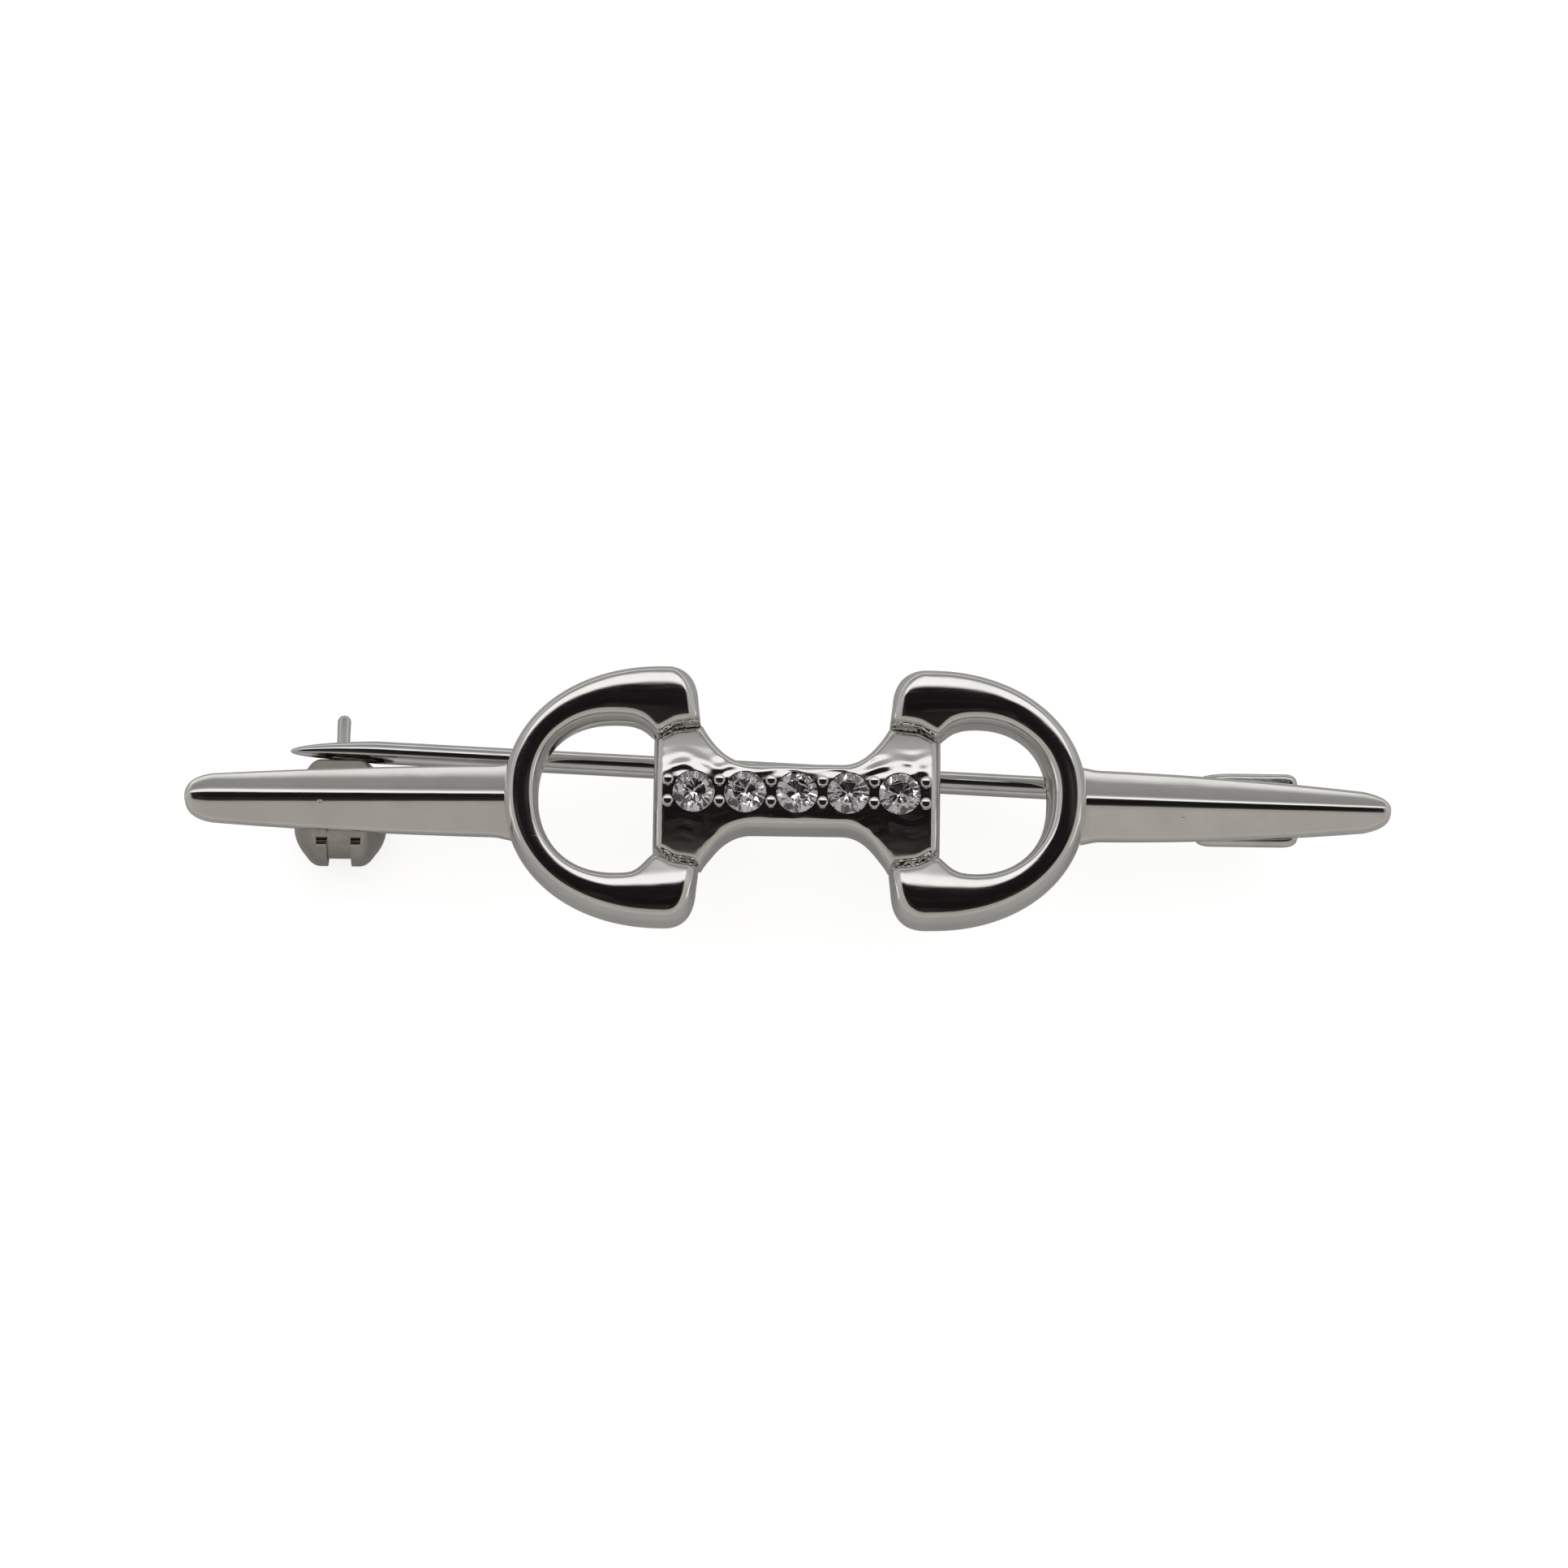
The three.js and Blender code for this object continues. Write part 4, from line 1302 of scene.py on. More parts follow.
@dataclass
class StoneRow:
    """Five round brilliants and the twelve bead claws that hold them."""

    count: int = 5
    mains: int = 8
    table_radius: float = 0.68
    crown: float = 0.36
    girdle: float = 0.08
    pavilion: float = 0.98
    seat_depth: float = 1.05
    star_slope: float = 22.0
    upper_slope: float = 37.5
    lower_slope: float = 41.6
    uneven: float = 2.2
    uneven_steps: Point = (5.3, 7.1)
    lean: float = 4.0
    lean_steps: tuple[Point, Point] = ((2.1, 0.6), (3.7, 1.4))
    turn_step: Point = (0.37, 0.2)
    sink: float = 0.06
    spare: float = 0.08
    rod_steps: int = 64
    rod_length: float = 4.0
    claw_radius: float = 0.3
    claw_foot: float = 1.06
    claw_waist: float = 0.4
    claw_round: float = 0.11
    claw_crown: float = 0.03
    claw_shares: tuple[float, ...] = (0.66, 0.33, 0.0)
    claw_root: float = 0.25
    claw_rows: int = 5
    claw_steps: int = 24
    radius: float = field(init=False)
    girdle_z: float = field(init=False)
    places: list[float] = field(init=False)

    def __post_init__(self) -> None:
        """Takes the stones' size and places from the frame."""
        boxes = [box_mm(f"stone_{i + 1}") for i in range(self.count)]
        self.places = [(low.x + high.x) / 2 for low, high in boxes]
        low, high = boxes[0]
        self.radius = (high.x - low.x) / 2 - self.spare
        self.girdle_z = low.z + self.seat_depth

    def facets(self) -> list[tuple[Vector, Vector]]:
        """Lists the cutting planes of a round brilliant about its own girdle.

        Returns:
            A point on each plane and the direction of the side that is cut off.
        """
        bezel = math.degrees(math.atan2(self.crown, self.radius - self.table_radius))
        main = math.degrees(math.atan2(self.pavilion, self.radius))
        top = self.girdle + self.crown
        star_in = self.table_radius * math.cos(math.pi / self.mains)
        mains, halves = self.mains, 2 * self.mains
        rings = [
            (halves, 180 / halves, self.lower_slope, self.radius, 0.0, -1),
            (mains, 0.0, main, self.radius, 0.0, -1),
            (halves, 180 / halves, self.upper_slope, self.radius, self.girdle, 1),
            (mains, 0.0, bezel, self.radius, self.girdle, 1),
            (mains, 180 / mains, self.star_slope, star_in, top, 1),
        ]
        rise_step, turn_step = self.uneven_steps
        planes = []
        for number, offset, slope, reach, height, up in rings:
            for k in range(number):
                rise = math.radians(slope + self.uneven * math.sin(rise_step * k + slope))
                stray = self.uneven * math.sin(turn_step * k + slope)
                turn = math.radians(offset + 360 * k / number + stray)
                out = Vector((math.cos(turn), math.sin(turn), 0))
                spot = out * reach + Vector((0, 0, height))
                planes.append((spot, out * math.sin(rise) + Vector((0, 0, up * math.cos(rise)))))
        planes.append((Vector((0, 0, top)), Vector((0, 0, 1))))
        return planes

    def cut_stone(self) -> bpy.types.Object:
        """Cuts one brilliant from a rod.

        Returns:
            The stone, its girdle at the origin.
        """
        Bench.clear()
        bpy.ops.mesh.primitive_cylinder_add(
            vertices=self.rod_steps, radius=self.radius, depth=self.rod_length
        )
        stone = Bench.named("brilliant_pattern")
        for spot, normal in self.facets():
            Bench.slice(stone, spot, normal)
        Bench.edit(stone)
        Bench.close()
        return stone

    def build_stones(self) -> None:
        """Models one stone and sets a copy of it in each seat, turned a little differently."""
        pattern = self.cut_stone()
        for i, x in enumerate(self.places):
            stone = Bench.copied(pattern, f"brilliant_{i + 1}")
            leans = [math.radians(self.lean * math.sin(step * i + start)) for step, start in self.lean_steps]
            step, start = self.turn_step
            tip = Matrix.Rotation(leans[0], 4, "X") @ Matrix.Rotation(leans[1], 4, "Y")
            turn = tip @ Matrix.Rotation(step * i + start, 4, "Z")
            Bench.place(stone, Vector((x, 0, self.girdle_z - self.sink)), turn)
            Bench.finish(stone, f"stone_{i + 1}", Body.BROOCH, CLEAR_BRILLIANT, smooth=None)
        bpy.data.objects.remove(pattern)

    def bead(self, height: float) -> bpy.types.Object:
        """Turns one bead claw.

        Args:
            height: How far it stands over the table.

        Returns:
            The claw, its foot below the origin.
        """
        r, soft = self.claw_radius, self.claw_round
        flat = r - soft
        shoulder = height - self.claw_crown - soft
        angles = [QUARTER * k / self.claw_rows for k in range(self.claw_rows + 1)]
        edge = [(shoulder + soft * math.sin(angle), flat + soft * math.cos(angle)) for angle in angles]
        top = [(height - self.claw_crown * share**2, share * flat) for share in self.claw_shares]
        foot = [(-self.claw_root, 0.0), (-self.claw_root, r), (0.0, r * self.claw_foot)]
        profile = [*foot, (self.claw_waist * shoulder, r), *edge, *top]
        return Bench.turned("bead_pattern", profile, Axis.Z, self.claw_steps)

    def build_claws(self) -> None:
        """Models one claw and sets a copy of it at each packed claw."""
        table_z = box_mm("mouthpiece")[1].z
        pattern = self.bead(box_mm("claw_1")[1].z - table_z)
        for i in range(2 * (self.count + 1)):
            low, high = box_mm(f"claw_{i + 1}")
            claw = Bench.copied(pattern, f"bead_claw_{i + 1}")
            Bench.place(claw, Vector(((low.x + high.x) / 2, (low.y + high.y) / 2, table_z)))
            Bench.finish(claw, f"claw_{i + 1}", Body.BROOCH, MIRROR_PLATE, smooth=60)
        bpy.data.objects.remove(pattern)


@dataclass
class SafetyCatch:
    """The roll-over catch: barrel casing, slit sleeve and thumb lever."""

    radius: float = 2.93
    half_length: float = 2.45
    shoulder_x: float = 1.42
    shoulder_run: float = 0.4
    slant: Point = (0.32, 0.62)
    rim_x: float = 2.33
    rim_radius: float = 1.78
    end_radius: float = 1.25
    bore_half: float = 1.35
    wall: float = 0.36
    casing_edge: float = 0.07
    run_gap: float = 0.05
    sleeve_wall: float = 0.65
    sleeve_edge: float = 0.05
    mouth_half: float = 0.72
    mouth_over: float = 0.6
    mouth_stop: float = -0.75
    mouth_past: float = 1.0
    slot_half: float = 0.65
    slot_start: float = -10
    slot_end: float = 238
    notch_half: float = 1.2
    notch_start: float = 219
    notch_end: float = 228
    lever_lean: float = 16
    lever_radius: float = 0.37
    lever_sink: float = 0.3
    lever_reach: float = 6.09
    lever_waist: float = 0.8
    lever_girth: tuple[float, ...] = (1.1, 1.06, 0.98, 0.95)
    collar_rise: float = 0.12
    collar_length: float = 0.4
    rows: int = 8
    slot_rows: int = 24
    steps: int = 72
    lever_steps: int = 32
    axis: Vector = field(init=False)
    rest: float = field(init=False)
    top: float = field(init=False)

    def __post_init__(self) -> None:
        """Takes the axis and the two flats from the frame."""
        low, high = box_mm("catch_body")
        self.axis = joint_mm("catch_roll")
        self.rest = low.z - self.axis.z
        self.top = high.z - self.axis.z

    @property
    def bore(self) -> float:
        """The radius of the casing's bore."""
        return self.radius - self.wall

    @property
    def sleeve_radius(self) -> float:
        """The radius of the sleeve's outside."""
        return self.bore - self.run_gap

    def outside(self) -> Plan:
        """Lists the barrel's outside from its middle to one end: straight, slanted and turned in.

        Returns:
            Places along the axis, each with its radius.
        """
        shoulder, rim = (self.shoulder_x, self.radius), (self.rim_x, self.rim_radius)
        slant_start, slant_end = (tuple(Vector(shoulder).lerp(Vector(rim), share)) for share in self.slant)
        start, end = (self.shoulder_x - self.shoulder_run, self.radius), (self.half_length, self.end_radius)
        found = [bezier(start, shoulder, slant_start, k / self.rows) for k in range(self.rows + 1)]
        return found + [bezier(slant_end, rim, end, k / self.rows) for k in range(self.rows)]

    def mouth_cutter(self, stop: float) -> bpy.types.Object:
        """Makes the cutter that lets the stem in from +Y.

        Args:
            stop: Where the mouth ends on the far side.

        Returns:
            The cutter.
        """
        end, past = self.half_length + self.mouth_past, self.radius + self.mouth_past
        plan = [(-end, stop), (end, stop), (end, past), (-end, past)]
        low, high = self.mouth_over - self.mouth_half, self.mouth_over + self.mouth_half
        return Bench.plate("mouth_cutter", plan, low, high)

    def slot_cutter(self, start: float, end: float, half: float) -> bpy.types.Object:
        """Makes the cutter for a slot round the axis.

        Args:
            start: Where the slot starts, in degrees from +Y towards the back.
            end: Where it ends.
            half: Half of its width.

        Returns:
            The cutter.
        """
        far = 2 * self.radius
        plan = [(0.0, 0.0)]
        for k in range(self.slot_rows + 1):
            angle = math.radians(-(start + (end - start) * k / self.slot_rows))
            plan.append((far * math.cos(angle), far * math.sin(angle)))
        cutter = Bench.plate("slot_cutter", plan, -half, half)
        across = Matrix(((0, 0, 1), (1, 0, 0), (0, 1, 0))).to_4x4()
        Bench.place(cutter, Vector((0, 0, 0)), across)
        return cutter

    def build_casing(self) -> None:
        """Models and dresses the barrel."""
        end_hole = self.end_radius - self.wall
        half = [
            *self.outside(),
            (self.half_length, self.end_radius),
            (self.half_length, end_hole),
            (self.half_length - self.wall, end_hole),
            (self.bore_half, self.bore),
        ]
        profile = half + [(-x, r) for x, r in reversed(half)]
        casing = Bench.turned("catch_barrel", profile, Axis.X, self.steps)
        Bench.slice(casing, Vector((0, 0, self.rest)), Vector((0, 0, -1)))
        Bench.slice(casing, Vector((0, 0, self.top)), Vector((0, 0, 1)))
        Bench.boolean(casing, self.mouth_cutter(self.mouth_stop))
        Bench.boolean(casing, self.slot_cutter(self.slot_start, self.slot_end, self.slot_half))
        Bench.boolean(casing, self.slot_cutter(self.notch_start, self.notch_end, self.notch_half))
        Bench.soften(casing, self.casing_edge)
        Bench.place(casing, self.axis)
        Bench.finish(casing, "catch_body", Body.BROOCH, CATCH_METAL_AND_SHADE)

    def build_sleeve(self) -> None:
        """Models and dresses the turning sleeve."""
        outer, inner = self.sleeve_radius, self.sleeve_radius - self.sleeve_wall
        half = self.bore_half - self.run_gap
        profile = [(half, outer), (half, inner), (-half, inner), (-half, outer)]
        sleeve = Bench.turned("catch_sleeve", profile, Axis.X, self.steps)
        Bench.boolean(sleeve, self.mouth_cutter(0.0))
        Bench.soften(sleeve, self.sleeve_edge)
        Bench.place(sleeve, self.axis)
        Bench.finish(sleeve, "catch_roller", Body.ROLLER, CATCH_METAL_AND_SHADE)

    def build_lever(self) -> None:
        """Models and dresses the thumb lever: a round post with a domed top that leans back."""
        r = self.lever_radius
        foot = self.sleeve_radius - self.lever_sink
        collar = self.sleeve_radius + self.collar_rise
        top = self.lever_reach - r
        places = (foot, collar, collar + self.collar_length, self.lever_waist * top)
        angles = [QUARTER * k / self.rows for k in range(self.rows + 1)]
        profile = [
            (foot, 0.0),
            *((place, share * r) for place, share in zip(places, self.lever_girth)),
            *((top + r * math.sin(angle), r * math.cos(angle)) for angle in angles),
        ]
        lever = Bench.turned("thumb_post", profile, Axis.Z, self.lever_steps)
        upright = Matrix.Rotation(math.radians(-90 - self.lever_lean), 4, "X")
        Bench.place(lever, self.axis, upright)
        Bench.finish(lever, "thumb_lever", Body.ROLLER, POLISHED_POST, smooth=60)


@dataclass
class Hinge:
    """The riveted hinge behind the right bar: pad, rivet and washer."""

    rivet_radius: float = 0.5
    shoulder_radius: float = 0.72
    shoulder_gap: float = 0.05
    run_gap: float = 0.05
    eye_half: float = 0.4
    head_round: tuple[Point, ...] = ((0.0, 0.72), (0.06, 0.86), (0.18, 0.97), (0.3, 1.0))
    pad_edge: float = 0.32
    pad_rounds: tuple[tuple[Point, Point], ...] = (
        ((-0.9, 0.0), (0.0, 0.55)),
        ((0.0, -0.6), (-0.7, 0.0)),
        ((2.2, 0.0), (0.0, -0.6)),
        ((0.0, 0.5), (0.9, 0.0)),
    )
    washer_edge: float = 0.05
    rows: int = 8
    steps: int = 48
    axis: Vector = field(init=False)

    def __post_init__(self) -> None:
        """Takes the hinge's axis from the frame."""
        self.axis = joint_mm("pin_swing")

    def build_pad(self) -> None:
        """Models and dresses the pad soldered to the bar's back."""
        low, high = box_mm("hinge_pad")
        corners = [(high.x, low.y), (high.x, high.y), (low.x, high.y), (low.x, low.y)]
        plan: Plan = []
        for corner, rounds in zip(corners, self.pad_rounds):
            start, end = (tuple(Vector(corner) + Vector(step)) for step in rounds)
            plan += [bezier(start, corner, end, k / self.rows) for k in range(self.rows + 1)]
        pad = Bench.plate("hinge_plate", plan, low.z, high.z)
        Bench.soften(pad, self.pad_edge, degrees=40, segments=6)
        Bench.finish(pad, "hinge_pad", Body.BROOCH, TUMBLED_PLATE, smooth=60)

    def build_rivet(self) -> None:
        """Models and dresses the rivet: domed head, shank and shoulder."""
        low, high = box_mm("hinge_rivet")
        head_radius = (high.x - low.x) / 2
        head_top = box_mm("hinge_washer")[0].z - self.run_gap
        shoulder_low = self.axis.z + self.eye_half + self.run_gap
        shoulder_top = box_mm("hinge_pad")[0].z - self.shoulder_gap
        profile = [
            (low.z, 0.0),
            *((low.z + rise, share * head_radius) for rise, share in self.head_round),
            (head_top, head_radius),
            (head_top, self.rivet_radius),
            (shoulder_low, self.rivet_radius),
            (shoulder_low, self.shoulder_radius),
            (shoulder_top, self.shoulder_radius),
            (shoulder_top, self.rivet_radius),
            (high.z, self.rivet_radius),
            (high.z, 0.0),
        ]
        rivet = Bench.turned("rivet_post", profile, Axis.Z, self.steps)
        Bench.place(rivet, Vector((self.axis.x, self.axis.y, 0)))
        Bench.finish(rivet, "hinge_rivet", Body.BROOCH, TUMBLED_PLATE, smooth=30)

    def build_washer(self) -> None:
        """Models and dresses the washer under the rivet's head."""
        low, high = box_mm("hinge_washer")
        radius = (high.x - low.x) / 2
        bore = self.rivet_radius + self.run_gap
        profile = [(low.z, bore), (low.z, radius), (high.z, radius), (high.z, bore)]
        washer = Bench.turned("rivet_washer", profile, Axis.Z, self.steps)
        Bench.soften(washer, self.washer_edge, degrees=40)
        Bench.place(washer, Vector((self.axis.x, self.axis.y, 0)))
        Bench.finish(washer, "hinge_washer", Body.BROOCH, TUMBLED_PLATE)


@dataclass
class PinStem:
    """The pin wire with its flattened eye and ground point."""

    radius: float = 0.615
    length: float = 51.75
    point: float = 4.65
    point_power: float = 0.42
    point_left: float = 0.001
    grind: float = 0.16
    flat_start: float = 4.2
    flat_tuck: float = 0.2
    flat_spread: float = 0.2
    flat_press: float = 0.3
    eye_radius: float = 1.15
    eye_thick: float = 0.8
    eye_round: float = 0.16
    eye_nick: float = 0.3
    bore: float = 0.55
    rest_angle: float = 2.35
    flat_rows: int = 12
    rows: int = 24
    columns: int = 32
    eye_steps: int = 48
    axis: Vector = field(init=False)

    def __post_init__(self) -> None:
        """Takes the hinge's axis from the frame."""
        self.axis = joint_mm("pin_swing")

    def stations(self) -> list[tuple[float, float, float, float]]:
        """Lists the wire's sections from the eye to its point.

        Returns:
            Place, half width, half height and sideways shift of each section.
        """
        r = self.radius
        flat_end = self.bore + self.flat_tuck
        shaft_end = self.length - self.point
        found = []
        for k in range(self.flat_rows):
            t = k / self.flat_rows
            press = 1 - ease(t, 0, 1)
            x = flat_end + (self.flat_start - flat_end) * t
            found.append((x, r * (1 + self.flat_spread * press), r * (1 - self.flat_press * press), 0.0))
        for k in range(self.rows):
            found.append((self.flat_start + (shaft_end - self.flat_start) * k / self.rows, r, r, 0.0))
        for k in range(self.rows + 1):
            t = 1 - (1 - k / self.rows) ** 2
            thin = r * (1 - (1 - self.point_left) * t) ** self.point_power
            found.append((shaft_end + self.point * t, thin, thin, -self.grind * t * t))
        return found

    def wire(self) -> bpy.types.Object:
        """Draws the wire, flattened towards the eye and ground to a point.

        Returns:
            The wire, about the hinge's axis and pointing along -X.
        """
        angles = [2 * math.pi * k / self.columns for k in range(self.columns)]
        rings = []
        for x, half_y, half_z, shift in self.stations():
            rings.append([Vector((-x, shift + half_y * math.cos(a), half_z * math.sin(a))) for a in angles])
        start, end = Vector((-self.bore - self.flat_tuck, 0, 0)), Vector((-self.length, -self.grind, 0))
        return Bench.skin("pin_wire", rings, start, end)

    def eye(self) -> bpy.types.Object:
        """Turns the eye that runs on the rivet.

        Returns:
            The eye, about the hinge's axis.
        """
        half, soft, r = self.eye_thick / 2, self.eye_round, self.eye_radius
        nick = self.eye_nick * soft
        low = [(-half, self.bore), (-half, r - soft), (-half + nick, r - nick), (-half + soft, r)]
        return Bench.turned("pin_eye", low + [(-z, x) for z, x in reversed(low)], Axis.Z, self.eye_steps)

    def build(self) -> None:
        """Models and dresses the stem."""
        stem = self.wire()
        Bench.boolean(stem, self.eye(), Work.JOIN)
        Bench.place(stem, self.axis, Matrix.Rotation(math.radians(-self.rest_angle), 4, "Z"))
        Bench.finish(stem, "pin_stem", Body.PIN, DRAWN_WIRE, smooth=35)


Falls = tuple[tuple[float, Colour], ...]

# The canopy's falls: each one's lean from straight up towards +Y, in degrees, and its tone.
CANOPY_MIDDLE: Falls = (
    (-90, (0.50, 0.48, 0.45)),
    (-45, (0.42, 0.40, 0.37)),
    (-26, (0.37, 0.35, 0.32)),
    (-19, (0.03, 0.026, 0.026)),
    (-4, (0.008, 0.007, 0.007)),
    (23, (0.012, 0.011, 0.012)),
    (26.5, (1.15, 1.15, 1.15)),
    (37, (1.10, 1.10, 1.10)),
    (43, (0.42, 0.42, 0.42)),
    (58, (0.27, 0.27, 0.265)),
    (75.5, (0.32, 0.32, 0.315)),
    (81, (0.95, 0.95, 0.94)),
    (90, (0.95, 0.95, 0.94)),
)
CANOPY_SIDES: Falls = (
    (-90, (0.48, 0.465, 0.44)),
    (-30, (0.45, 0.43, 0.40)),
    (10, (0.46, 0.45, 0.44)),
    (31, (0.55, 0.55, 0.55)),
    (43, (0.46, 0.46, 0.455)),
    (62, (0.42, 0.42, 0.415)),
    (80, (0.65, 0.65, 0.64)),
    (90, (0.62, 0.62, 0.61)),
)
BLACK, WHITE = (0, 0, 0, 1), (1, 1, 1, 1)


@dataclass
class Studio:
    """The floor, the soft light, the canopy that the polish mirrors, and the camera. Sizes are in metres."""

    tilt: float = 75.0
    roll: float = 0.76
    distance: float = 0.5
    frame_width: float = 0.08456
    sensor: float = 36.0
    clip_start: float = 0.01
    aim: tuple[float, float, float] = (-0.0002, 0.0, 0.00515)
    aim_up: float = 0.00118
    floor_size: float = 6.0
    floor_gap: float = 0.00002
    floor_tone: Colour = (0.42, 0.41, 0.40)
    floor_roughness: float = 0.95
    floor_seen: float = 0.76
    floor_mirrored: float = 0.03
    plain_light: float = 0.72
    canopy_radius: float = 0.9
    canopy_half: float = 4.0
    canopy_rows: int = 96
    canopy_span: Point = (0.36, 0.62)
    stone_gain: float = 0.1
    dapple_scale: float = 7
    dapple_span: Point = (0.5, 0.75)
    dapple_tone: Colour = (1.0, 0.82, 0.78)
    dapple: float = 0.05
    lamp_lean: float = 40.0
    lamp_far: float = 0.75
    lamp_size: Point = (0.9, 0.5)
    lamp_power: float = 1.5

    @staticmethod
    def ramp(weave: Weave, share: bpy.types.NodeSocket, falls: Falls) -> bpy.types.NodeSocket:
        """Adds the tones of the canopy's falls.

        Args:
            weave: The canopy's tree.
            share: The place from the front to the rear, from 0 to 1.
            falls: The falls from the front to the rear.

        Returns:
            The tone.
        """
        node = weave.add("ValToRGB", {"Fac": share})
        stops = node.color_ramp.elements
        while len(stops) < len(falls):
            stops.new(1.0)
        for stop, (degrees, tone) in zip(stops, falls):
            stop.position = (degrees + 90) / 180
            stop.color = (*tone, 1)
        return node.outputs["Color"]

    @staticmethod
    def dress(piece: bpy.types.Object, name: str) -> Weave:
        """Gives a piece of the studio a new material.

        Args:
            piece: The piece.
            name: The material's name.

        Returns:
            The material's tree.
        """
        made = bpy.data.materials.new(name)
        made.use_nodes = True
        piece.data.materials.append(made)
        return Weave(made.node_tree)

    def dye_canopy(self, weave: Weave) -> None:
        """Sets up the canopy's nodes: dark overhead, a lit strip behind it and grey falls all round.

        Args:
            weave: The canopy's tree.
        """
        spot = weave.spot()
        place = weave.add("SeparateXYZ", {"Vector": spot}).outputs
        lean = weave.reckon("ARCTAN2", place["Y"], place["Z"])
        share = weave.span(lean, (-QUARTER, QUARTER))
        middle, sides = (self.ramp(weave, share, falls) for falls in (CANOPY_MIDDLE, CANOPY_SIDES))
        aside = weave.span(weave.reckon("ABSOLUTE", place["X"]), self.canopy_span, soft=True)
        tone = weave.blend(aside, middle, sides)
        dapple = weave.span(weave.noise(spot, self.dapple_scale), self.dapple_span, (0, self.dapple))
        through = weave.add("LightPath").outputs["Is Transmission Ray"]
        surface = {
            "Base Color": BLACK,
            "Specular IOR Level": 0,
            "Emission Color": weave.blend(dapple, tone, (*self.dapple_tone, 1), "ADD"),
            "Emission Strength": weave.reckon("MULTIPLY_ADD", through, self.stone_gain, 1),
        }
        weave.feed(weave.shader, surface)

    def hang_canopy(self) -> None:
        """Hangs the half round canopy that the polish mirrors, out of the camera's and the lamp's way."""
        Bench.clear()
        bpy.ops.mesh.primitive_grid_add(x_subdivisions=2, y_subdivisions=self.canopy_rows, size=2)
        canopy = Bench.named("canopy")
        for point in canopy.data.vertices:
            x, lean = point.co.x, point.co.y * QUARTER
            rear, up = self.canopy_radius * math.sin(lean), self.canopy_radius * math.cos(lean)
            point.co = (x * self.canopy_half, rear, up)
        self.dye_canopy(self.dress(canopy, "canopy_cloth"))
        canopy.visible_camera = False
        canopy.visible_diffuse = False
        canopy.visible_shadow = False

    def lay_floor(self) -> None:
        """Lays the pale floor under the pin."""
        Bench.clear()
        bpy.ops.mesh.primitive_plane_add(size=self.floor_size, location=(0, 0, CAD_BOX[0].z - self.floor_gap))
        floor = Bench.named("floor")
        weave = self.dress(floor, "pale_floor")
        path = weave.add("LightPath").outputs
        mirrored = weave.reckon("MAXIMUM", path["Is Glossy Ray"], path["Is Transmission Ray"])
        faint = weave.reckon("MULTIPLY", mirrored, self.floor_mirrored)
        surface = {
            "Base Color": (*self.floor_tone, 1),
            "Roughness": self.floor_roughness,
            "Specular IOR Level": 0,
            "Emission Color": WHITE,
            "Emission Strength": weave.reckon("MULTIPLY_ADD", path["Is Camera Ray"], self.floor_seen, faint),
        }
        weave.feed(weave.shader, surface)

    def set_world(self) -> None:
        """Sets the white surround, plain for the light that falls on the object."""
        world = bpy.data.worlds.new("white_surround")
        bpy.context.scene.world = world
        world.use_nodes = True
        weave = Weave(world.node_tree)
        path = weave.add("LightPath").outputs
        seen = weave.reckon("MAXIMUM", path["Is Camera Ray"], path["Is Glossy Ray"])
        through = weave.reckon("MAXIMUM", seen, path["Is Transmission Ray"])
        level = weave.span(through, wanted=(self.plain_light, 1))
        weave.feed(world.node_tree.nodes["Background"], {"Color": WHITE, "Strength": level})

    def hang_lamp(self) -> None:
        """Hangs a soft box behind the pin that points at it."""
        data = bpy.data.lights.new("rear_box", "AREA")
        data.shape = "RECTANGLE"
        data.size, data.size_y = self.lamp_size
        data.energy = self.lamp_power
        lamp = bpy.data.objects.new("rear_box", data)
        bpy.context.scene.collection.objects.link(lamp)
        lean = math.radians(self.lamp_lean)
        spot = Vector((0, self.lamp_far * math.sin(lean), self.lamp_far * math.cos(lean)))
        lamp.location = spot
        lamp.rotation_mode = "QUATERNION"
        lamp.rotation_quaternion = (-spot).to_track_quat("-Z", "Y")
        lamp.visible_glossy = False

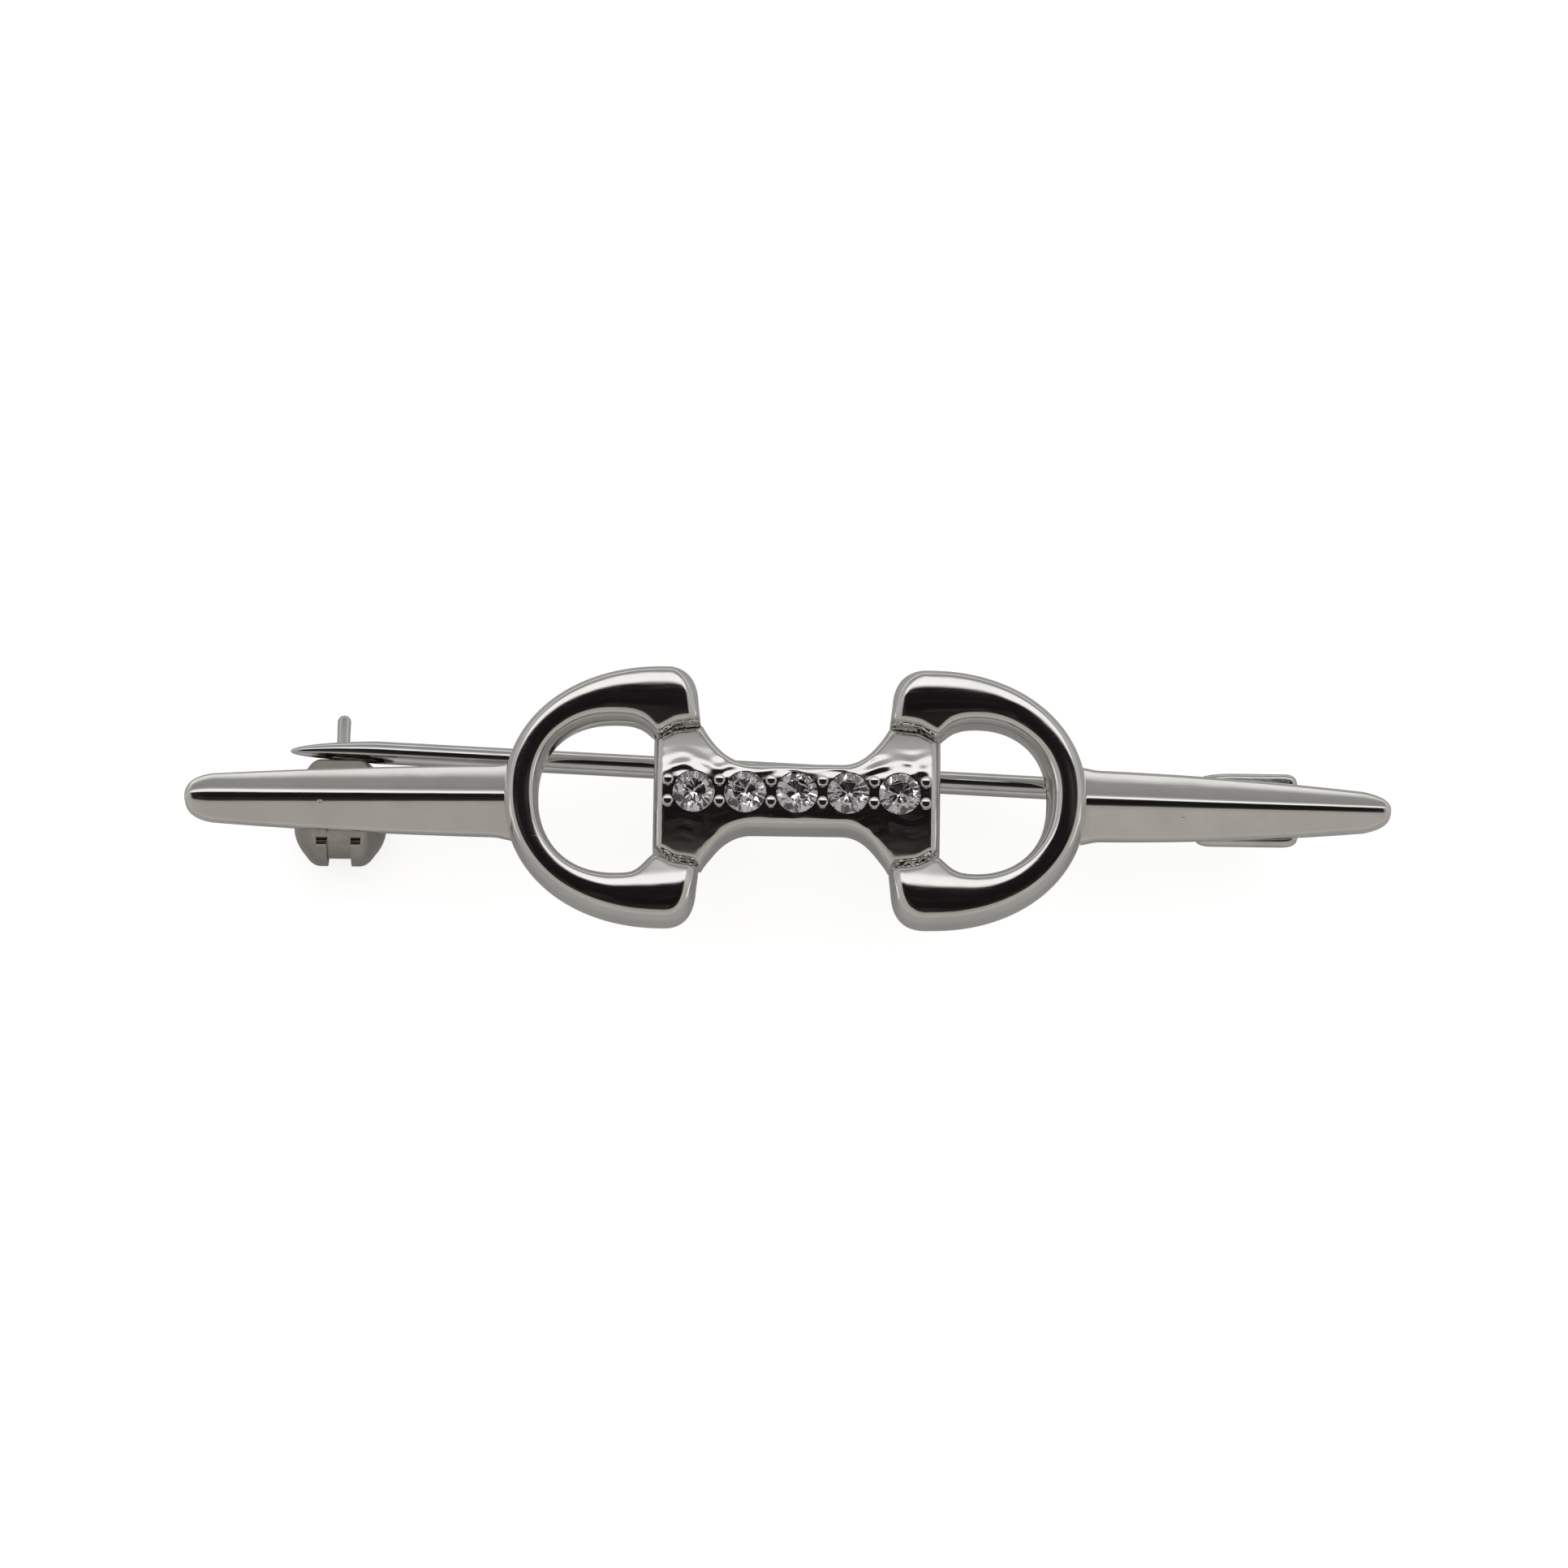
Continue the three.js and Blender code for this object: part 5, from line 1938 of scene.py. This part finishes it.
    def hang_camera(self) -> None:
        """Sets the camera at the photograph's angle."""
        data = bpy.data.cameras.new("camera")
        data.sensor_width = self.sensor
        data.lens = self.sensor * self.distance / self.frame_width
        data.clip_start = self.clip_start
        camera = bpy.data.objects.new("camera", data)
        bpy.context.scene.collection.objects.link(camera)
        tilt, roll = math.radians(self.tilt), math.radians(self.roll)
        back = Vector((0, -math.cos(tilt), math.sin(tilt)))
        level = Vector((1, 0, 0))
        rise = back.cross(level)
        right = level * math.cos(roll) + rise * math.sin(roll)
        up = back.cross(right)
        spot = Vector(self.aim) + up * self.aim_up + back * self.distance
        turn = Matrix((right, up, back)).transposed().to_4x4()
        camera.matrix_world = Matrix.Translation(spot) @ turn
        bpy.context.scene.camera = camera

    def build(self) -> None:
        """Sets up the whole studio."""
        bpy.context.scene.view_settings.view_transform = "Standard"
        self.lay_floor()
        self.set_world()
        self.hang_canopy()
        self.hang_lamp()
        self.hang_camera()


LEFT_BAR = Bar(
    Side.LEFT,
    tip_half=1.32,
    bluntness=1.08,
    ridge_round=(1.0, 1.25),
    dip=(0.04, 0.06),
    pit=(-25.65, -0.42),
)
RIGHT_BAR = Bar(
    Side.RIGHT,
    tip_half=1.12,
    bluntness=0.8,
    ridge_round=(0.95, 0.6),
    dip=(-0.14, 0.05),
    pit=(20.8, -0.7),
    edge_round=0.24,
)
LEFT_RING = DRing(
    Side.LEFT, hole_x=9.78, hole_reach=4.12, hole_power=2.25, hole_drop=0.3, pull=-0.1, spare=0.1
)
RIGHT_RING = DRing(
    Side.RIGHT,
    hole_reach=4.08,
    hole_power=2.1,
    hole_drop=0.12,
    pull=0.16,
    trim=0.16,
    spare=0.15,
    lip=0.3,
)


def main() -> None:
    """Builds the pin's pieces in order, then the studio, and notes the sizes."""
    logging.basicConfig(level=logging.INFO, format="%(name)s: %(message)s")
    for piece in (LEFT_BAR, RIGHT_BAR, LEFT_RING, RIGHT_RING):
        piece.build()
    stones = StoneRow()
    Mouthpiece().build(stones)
    stones.build_stones()
    stones.build_claws()
    catch = SafetyCatch()
    catch.build_casing()
    catch.build_sleeve()
    catch.build_lever()
    hinge = Hinge()
    hinge.build_pad()
    hinge.build_rivet()
    hinge.build_washer()
    PinStem().build()
    Studio().build()
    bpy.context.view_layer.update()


if __name__ == "__main__":
    main()
